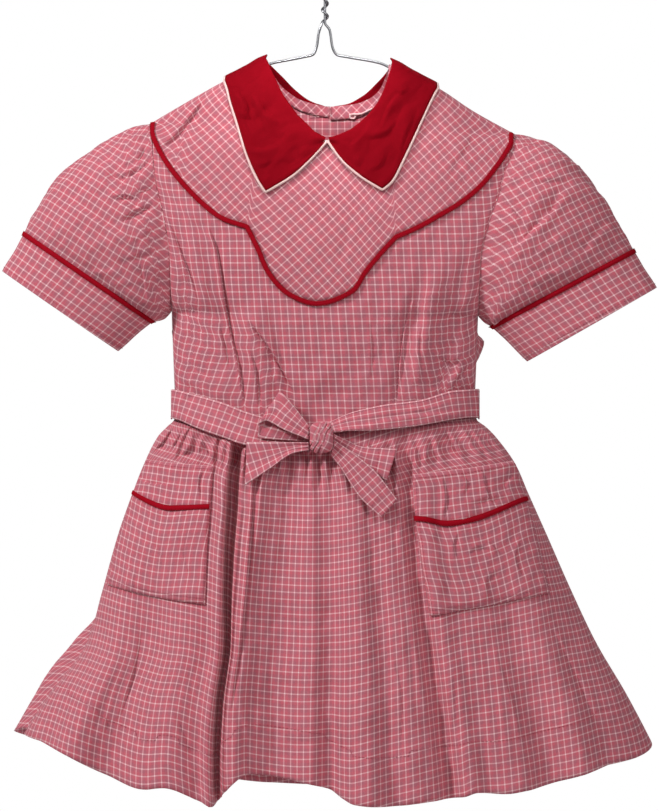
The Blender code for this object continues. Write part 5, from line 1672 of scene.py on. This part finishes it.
# %% Pockets and their bands
POCKET_OUT = 1.5              # millimetres off the skirt
for side in ("left", "right"):
    column = pocket_columns(side)
    inset = np.minimum(column - column[0], column[-1] - column)
    for node, low, high, count in ((f"pocket_band_{side}", 1, 1.998, 26),
                                   (f"pocket_{side}", 2.004, 3, 46)):
        level = np.linspace(low, high, count)
        from_ends = ramp(level, low, 0.06) * ramp(-level, -high, 0.06)
        inside = ramp(inset, 0, 0.5) * from_ends[:, None]
        flat = lifted(column, level, np.full((count, len(column)), POCKET_OUT))
        x, down = flat[..., 0], -flat[..., 2]
        marks = crumple(x, -down, 61, 0.4) + 0.6 * creases(x, down, POCKET_CREASES)
        marks = marks + folds_on(x, down, POCKET_FOLDS)
        ridge = 0.35 * np.exp(-((inset - 0.15) / 0.12) ** 2)
        grid = lifted(column, level, POCKET_OUT + (marks + 1.2) * inside + ridge)
        uv = hanging_place(grid, 9, 1.12 if side == "left" else 1.0)
        piece = cloth(node, grid, uv)
        cut(piece, *POCKET_CUTS[node], "laid", ["skirt_front_cloth"], 0.95)
        last_line = grid[2] if "band" in node else grid[-3]
        edges = [line + (0, -0.3, 0) for line in (grid[:, 3], grid[:, -4], last_line)]
        size = (2.1, 3.0, 0.2)
        stitches(node + "_stitches", edges, rose_thread, size)

# %% Pocket tapes
POCKET_TAPE = ((-0.064, 2.7), (-0.056, 3.3), (-0.018, 3.5), (0.02, 3.3), (0.027, 2.7))
for side in ("left", "right"):
    column = pocket_columns(side)
    grid = np.concatenate([lifted(column, np.array([2 + at]), np.full((1, len(column)), rise))
                           for at, rise in POCKET_TAPE])
    uv = flat_place(grid, bias=45)
    piece = cloth(f"pocket_trim_{side}", grid, uv, red_tape, 0.7)
    cut(piece, 0.105, 0.01, "laid", [f"pocket_{side}_cloth", f"pocket_band_{side}_cloth"], 0.48)
    edges = [grid[row] + (0, -0.1, 0) for row in (1, 3)]
    stitches(f"pocket_tape_stitches_{side}", edges, red_thread, TAPE_STITCH)

# %% [markdown]
# ## Belt and bow
# The belt is one folded strip on the straight grain. It runs round the back and is tied in a
# half bow in front: one loop, open towards the floor, and three ends. Each ribbon is swept
# between its two edges, hollowed a little along its middle, and pinched near the knot.

# %% The belt's lines
# Belt edges across the front, from the knot to each side
BELT = {
    "left": columns("x upper lower", [
        (-4.5, 447, 457), (-16, 446, 458), (-28, 443, 460), (-45, 437, 462), (-69.5, 428, 458),
        (-89, 420, 451.5), (-113, 413, 443.5), (-126, 409.5, 439), (-131, 408.4, 435.6),
    ]),
    "right": columns("x upper lower", [
        (-1, 441, 448), (9, 436, 447), (23, 429, 446), (38, 425, 446), (52, 422, 445),
        (82, 418, 442), (111, 409.5, 438.5), (126, 408.5, 436.5), (131.5, 408, 435.5),
    ]),
}
BELT_BACK_X = (-131.3, -127, -115, -90, -60, -38, -16, 0, 16, 38, 60, 90, 115, 127, 131.3)
BELT_OUT = 3.5                # how far the upper edge stands off the body
BELT_LOWER_OUT = 5.4


def belt_line(edge, out, back_down):
    """One edge of the belt, from the knot round the left side and the back to the knot."""
    left, right = (on_body(BELT[side]["x"], BELT[side][edge], out, "front") for side in BELT)
    turns = [[(x, 0, -back_down)] for x in (-132.0 - BELT_OUT, 132.6 + BELT_OUT)]
    back_x = np.array(BELT_BACK_X)
    over_lap = out + lap_rise(np.abs(back_x + 5) - 8)
    back = on_body(back_x, np.full(len(back_x), back_down), over_lap, "back")
    return finer(np.vstack([left, turns[0], back, turns[1], right[::-1]]), 9)


upper, lower = belt_line("upper", BELT_OUT, 409.0), belt_line("lower", BELT_LOWER_OUT, 435.0)
print("the belt is", round(float(steps_of(upper).sum())), "mm long without its knot")

# %% Belt
BELT_FOLDS = [
    (1.5, 1.8, [(6, 445), (40, 438.5), (74, 431.5), (122, 428)]),
    (1.2, 1, [(60, 420), (84, 425), (108, 418)]),
    (1.3, 1.2, [(-72, 436), (-90, 428), (-112, 418)]),
    (1.2, 1, [(-104, 410), (-118, 414), (-128, 424)]),
]
RIBBON_WIDE = 27              # millimetres of cloth across the belt and its ribbons
share = np.linspace(0, 1, 15)[:, None]
belt = upper + (lower - upper) * share[..., None]
x, down = belt[..., 0], -belt[..., 2]
front = belt[..., 1] < 0
facing = np.where(front, -1.0, 1.0)
groove = 0.9 * np.exp(-((share - 0.5) / 0.04) ** 2) * (front & (x > 5) & (x < 95))
folded = folds_on(x, down, BELT_FOLDS) * front
rounded = 0.35 * np.sin(math.pi * share) - groove + 0.8 * folded + 0.5 * np.abs(folded)
belt[..., 1] += facing * (np.abs(crumple(x, -down, 71, 0.4)) + rounded)
belt_cloth = cloth("belt", belt, ribbon_place(belt, RIBBON_WIDE), wall=1.0, flip=True)
under_belt = ["bodice_front_cloth", "skirt_front_cloth", "skirt_back_cloth"]
cut(belt_cloth, 0.62, 0.029, "stretched", under_belt, 0.98)
edges = [belt[row] + facing[row][:, None] * (0, 0.25, 0) for row in (1, -2)]
stitches("belt_stitches", edges, rose_thread, (2.1, 3.2, 0.2))

# %% Ribbons of the bow
# The two edges of the belt's cloth at each section, with how far each stands out
# from the body
BOTH_EDGES = "x1 down1 out1 x2 down2 out2"
BOW = {
    "bow_loop_left": columns(BOTH_EDGES, [
        (-14, 441, 15.5, -14.2, 452, 15), (-26, 425, 16.5, -34, 444.5, 15.5),
        (-35, 414, 15.5, -51, 436, 14), (-39, 411.5, 11.5, -57.6, 440, 11.4),
        (-37, 413, 7.8, -58, 450, 8.4), (-28, 427, 7, -36, 452.8, 8),
        (-14.2, 443, 7.4, -14.2, 453.6, 8.6),
    ]),
    "bow_tail_left": columns(BOTH_EDGES, [
        (-14, 455.2, 9.8, -14, 461.5, 9.2), (-26, 455, 7.4, -28, 465, 7.4),
        (-46, 455, 7, -48, 478.5, 7.4), (-68, 455, 7, -69.5, 493, 9),
    ]),
    "bow_end_right": columns(BOTH_EDGES, [
        (8, 447.5, 9.8, 8, 458, 9.6), (20, 453, 7.6, 19, 468, 7.4), (34, 458.5, 6.8, 34, 478, 6.6),
        (63, 460, 7.5, 54, 488, 8),
    ]),
    "bow_tail_right": columns(BOTH_EDGES, [
        (8.4, 453, 12, 5.5, 465.5, 11), (23, 463, 11, 14, 477, 10.4), (42, 478, 10.4, 30, 502, 10),
        (63, 504.5, 9.5, 49, 520, 9),
    ]),
}


def ribbon(node, pinch, hollow, seed):
    """A strip between two edges, pinched near the knot and hollowed along its middle."""
    table = BOW[node]
    edges = []
    for n in "12":
        x, down, out = table["x" + n], table["down" + n], table["out" + n]
        edges.append(finer(place(x, down, body_depth(x, down, "front") + out, "front"), 16))
    share = np.linspace(0, 1, 17)[:, None]
    grid = edges[0] + (edges[1] - edges[0]) * share[..., None]
    normal = unit(np.cross(np.gradient(grid, axis=1), np.gradient(grid, axis=0)))
    reach = np.linspace(0, 1, grid.shape[1])
    near_knot = np.exp(-reach / 0.28) + (np.exp(-(1 - reach) / 0.2) if "loop" in node else 0)
    folds = pinch * near_knot * np.cos(share * 4 * math.pi)
    middle = np.sin(math.pi * share)
    bowl = hollow * (middle - (0.8 if hollow < 0 else 0)) * (1 - 0.4 * near_knot)
    wave = crumple(grid[..., 0] * 1.3, grid[..., 2] * 1.3, seed, 0.4)
    return grid + normal * (bowl + (folds + wave * 0.6) * middle ** 0.5)[..., None]


RIBBONS = (("bow_loop_left", 1.3, 0.9, 81, (0.105, 0.026, 0.75)),
           ("bow_tail_left", 1.3, -2.4, 82, (0.062, 0.038, 0.55)),
           ("bow_end_right", 1.2, -2.2, 83, (0.062, 0.032, 0.58)),
           ("bow_tail_right", 1.3, 0.9, 84, (0.08, 0.03, 0.72)))
for node, pinch, hollow, seed, (length, width, kept) in RIBBONS:
    grid = ribbon(node, pinch, hollow, seed)
    piece = cloth(node, grid, ribbon_place(grid, RIBBON_WIDE), wall=0.9)
    cut(piece, length, width, "folded", ["belt_cloth"], kept)
    lines = [grid[1] + (0, -0.2, 0), grid[-2] + (0, -0.2, 0)]
    if "loop" not in node:
        lines.append(grid[:, -9] + (0, -0.3, 0))
    stitches(node + "_stitches", lines, rose_thread, (2.0, 3.0, 0.18))

# %% Knot
KNOT_X = -3
KNOT_DOWN = 450.5
KNOT_OUT = 13.4
KNOT_SIZE = (10.6, 7.0, 12.6)    # half width, half depth, half height
KNOT_ROWS, KNOT_SIDES = 64, 104
KNOT_FOLDS = (-5.6, -0.9, 3.4)


def knot_points():
    """A rounded block wound with three slanting folds, and how far across them each point is."""
    up = np.linspace(-1, 1, KNOT_ROWS)[:, None] * math.pi / 2 * 0.999
    turn = np.arange(KNOT_SIDES) * 2 * math.pi / KNOT_SIDES
    ball = np.stack([np.cos(up) * np.cos(turn), np.cos(up) * np.sin(turn),
                     np.sin(up) + 0 * turn], axis=-1)
    points = np.sign(ball) * np.abs(ball) ** 0.62 * np.array(KNOT_SIZE)
    x, up = points[..., 0], points[..., 2]
    slant = x * 0.9 - up * 0.42 + 0.6 * np.sin(up * 0.4)
    grooves = sum(np.exp(-((slant - at) / 0.75) ** 2) for at in KNOT_FOLDS)
    steps = sum(np.exp(-np.clip(slant - at, 0, None) / 2) * (slant > at) for at in KNOT_FOLDS)
    waist = 0.1 * np.cos(np.clip(up / KNOT_SIZE[2], -1, 1) * math.pi / 2)
    return points * (1.06 - 0.2 * grooves + 0.1 * steps - waist)[..., None], slant


points, slant = knot_points()
turn = sum(2.3 * (slant > at) for at in KNOT_FOLDS)
along_fold = points[..., 2] * 0.9 + points[..., 0] * 0.42
uv = closed_ring(np.stack([slant + turn, along_fold + 2 * turn], axis=-1) / CHECK)
depth = float(body_depth(KNOT_X, KNOT_DOWN, "front"))
points = points + (KNOT_X, -(depth + KNOT_OUT), -KNOT_DOWN)
faces, spots = grid_faces(KNOT_ROWS, KNOT_SIDES, KNOT_SIDES, flip=True)
caps = end_caps(KNOT_ROWS, KNOT_SIDES)
mesh = mesh_of("belt_knot_wrap", points, faces, uv.reshape(-1, 2)[spots], caps)
show("belt_knot_wrap", mesh, check_cotton, ["belt_knot"])
print("bow made")

# %% [markdown]
# ## Buttons
# Small pale buttons close the back lap. A button is turned on a lathe in life, so here a
# short profile is spun round: a rim, a dished middle and a rounded back, with four sunk
# holes and a cross of thread. Each buttonhole in the lap is a narrow ring of stitches.

# %% A turned button
BUTTON_SIDES = 48
PROFILE = columns("radius height", [
    (0.01, 0.3), (2.2, 0.3), (3.2, 0.45), (4, 1), (4.7, 1.3), (5.2, 1.1), (5.5, 0.5), (5.4, -0.1),
    (4.8, -0.8), (3, -1.1), (0.01, -1.1),
])


def button_points(centre, normal, right, upward):
    """The profile spun round, with four holes sunk in its face."""
    angle = np.arange(BUTTON_SIDES) * 2 * math.pi / BUTTON_SIDES
    radius, height = PROFILE["radius"][:, None], PROFILE["height"][:, None]
    x, up = radius * np.cos(angle), radius * np.sin(angle)
    dish = height + 0 * angle
    for turn in math.pi / 4 + np.arange(4) * math.pi / 2:
        off = np.hypot(x - 1.35 * math.cos(turn), up - 1.35 * math.sin(turn))
        dish = dish - np.where(height > 0, 0.5 * np.exp(-(off / 0.5) ** 2), 0)
    return centre + x[..., None] * right + up[..., None] * upward + dish[..., None] * normal


print("button", 2 * PROFILE["radius"].max(), "mm across")

# %% Buttons and buttonholes
BUTTON_X = -5
BUTTON_DOWNS = (224, 278, 332, 386)
BUTTON_OUT = 1.2 + GAP + LAY + GAP + 0.2 + 1.2    # over the lapped cloth
for number, down in enumerate(BUTTON_DOWNS, 1):
    base, out_one = (on_body(float(BUTTON_X), float(down), rise, "back") for rise in (0.0, 1.0))
    normal = unit(out_one - base)
    centre = base + normal * BUTTON_OUT
    right = np.array([1.0, 0, 0])
    upward = np.cross(normal, right)
    grid = button_points(centre, normal, right, upward)
    faces, spots = grid_faces(len(grid), BUTTON_SIDES, BUTTON_SIDES, False)
    u, v = np.meshgrid(np.linspace(0, 5, BUTTON_SIDES + 1), np.linspace(0, 2, len(grid)))
    uv = np.stack([u, v], axis=-1).reshape(-1, 2)[spots]
    name = f"back_button_{number}"
    show(name, mesh_of(name, grid, faces, uv), button_finish.material,
         [f"button_{number}"])
    for k, cross in enumerate((right + upward, right - upward), 1):
        line = [centre + normal * 0.55 + 1.05 * cross * s for s in (-1, -0.3, 0.3, 1)]
        tube(f"button_thread_{number}_{k}", line, 0.28, pale_thread, 6)
    hole = np.array([centre - normal * 0.9 + 7.6 * math.cos(a) * right + 1.1 * math.sin(a) * upward
                     for a in np.linspace(0, 2 * math.pi, 37)])
    stitches(f"buttonhole_{number}", [hole], pale_thread, (0.9, 1.2, 0.3))
print("buttons made")

# %% [markdown]
# ## Neck closing
# Between the collar's halves the inside of the back shows a short row of pale buttonhole
# stitches on the left strip and the back of the top button on the right one.

# %% Neck closing details
SHANK_SPOTS = ((42, 160), (37, 162.6), (31, 165), (26, 165.2), (22, 165.6), (22.6, 168.4),
               (25.6, 169), (27, 166.6))
inner = float(body_depth(-9.0, 165.0, "back")) - WALL - 0.55 - 0.6 - 0.25
mark = np.array([[x, inner, -165.4 + 0.03 * x] for x in np.linspace(-13.5, -4, 12)])
stitches("neck_buttonhole", [mark, mark + (0, 0, -1.5)], pale_thread,
         (0.9, 1.15, 0.34))
lining = np.concatenate([strip.reshape(-1, 3) for strip in facings.values()])
shank_line = []
for x, down in SHANK_SPOTS:
    nearest = np.argmin(np.hypot(lining[:, 0] - x, lining[:, 2] + down))
    shank_line.append((x, lining[nearest, 1] - 1.5, -down))
shank_line = finer(np.array(shank_line), 10)
tube("neck_button_thread", shank_line, 0.85, pale_thread, 8)
print("neck buttonhole at depth", round(inner, 1), "and thread", round(shank_line[0, 1], 1))

# %% [markdown]
# ## Hanger
# The hanger is one length of drawn steel wire: a hook, a straight neck, two sloping arms and
# a bar, with its end wound up the neck. A curve with a round section would do; a tube of
# mesh rings has the same shape and keeps a map for the drawn streaks.

# %% Wire hanger
HOOK_RADIUS = 18              # inside the hook
WIRE_RADIUS = 1.15
TWIST_TURNS = 3
TWIST_TOP, TWIST_FOOT = 52, 86    # millimetres down the neck
HANGER = columns("x down", [
    (4, 92), (5, 97), (6.5, 107), (10.5, 114.2), (20, 116.2), (48, 121.4), (61, 127.6),
    (99, 146.4), (128, 165.2), (146, 176), (150, 182), (146, 187), (100, 189), (0, 190),
    (-100, 189), (-134, 186), (-138, 180), (-133, 170), (-127, 162.4), (-88, 140.4), (-50, 122.6),
    (-20, 116.4), (-10.5, 114), (-7, 106), (-5.5, 95), (-4, 90),
])


def hanger_points():
    """The hook, the neck, the arms and the bar, then the end that winds up the neck."""
    middle = HOOK_RADIUS + WIRE_RADIUS
    turns = np.linspace(math.radians(215), math.radians(-40), 60)
    points = [(middle * math.cos(a), 0, middle * math.sin(a) - HOOK_RADIUS) for a in turns]
    foot_x, _, foot_z = points[-1]
    points += [(foot_x * (1 - part) ** 2, 0, foot_z - 14 * part) for part in (0.35, 0.7)]
    points += [(0, 0, -TWIST_TOP + 4), (0, 0, -TWIST_FOOT)]
    points += [(x, 0, -down) for x, down in zip(HANGER["x"], HANGER["down"])]
    reach = running(steps_of(points))
    points = smooth(reach, points, np.linspace(0, reach[-1], 420))
    spread = 2 * WIRE_RADIUS + 0.1
    share = np.linspace(0, 1, TWIST_TURNS * 24 + 1)
    angle = 2 * math.pi * TWIST_TURNS * share
    twist = np.stack([-spread * np.cos(angle), spread * np.sin(angle),
                      -TWIST_FOOT + (TWIST_FOOT - TWIST_TOP) * share], axis=-1)
    return np.concatenate([points, twist])


tube("hanger_wire_drawn", hanger_points(), WIRE_RADIUS, wire_finish.material, 12,
     ["hanger_wire"])
print("hanger made")
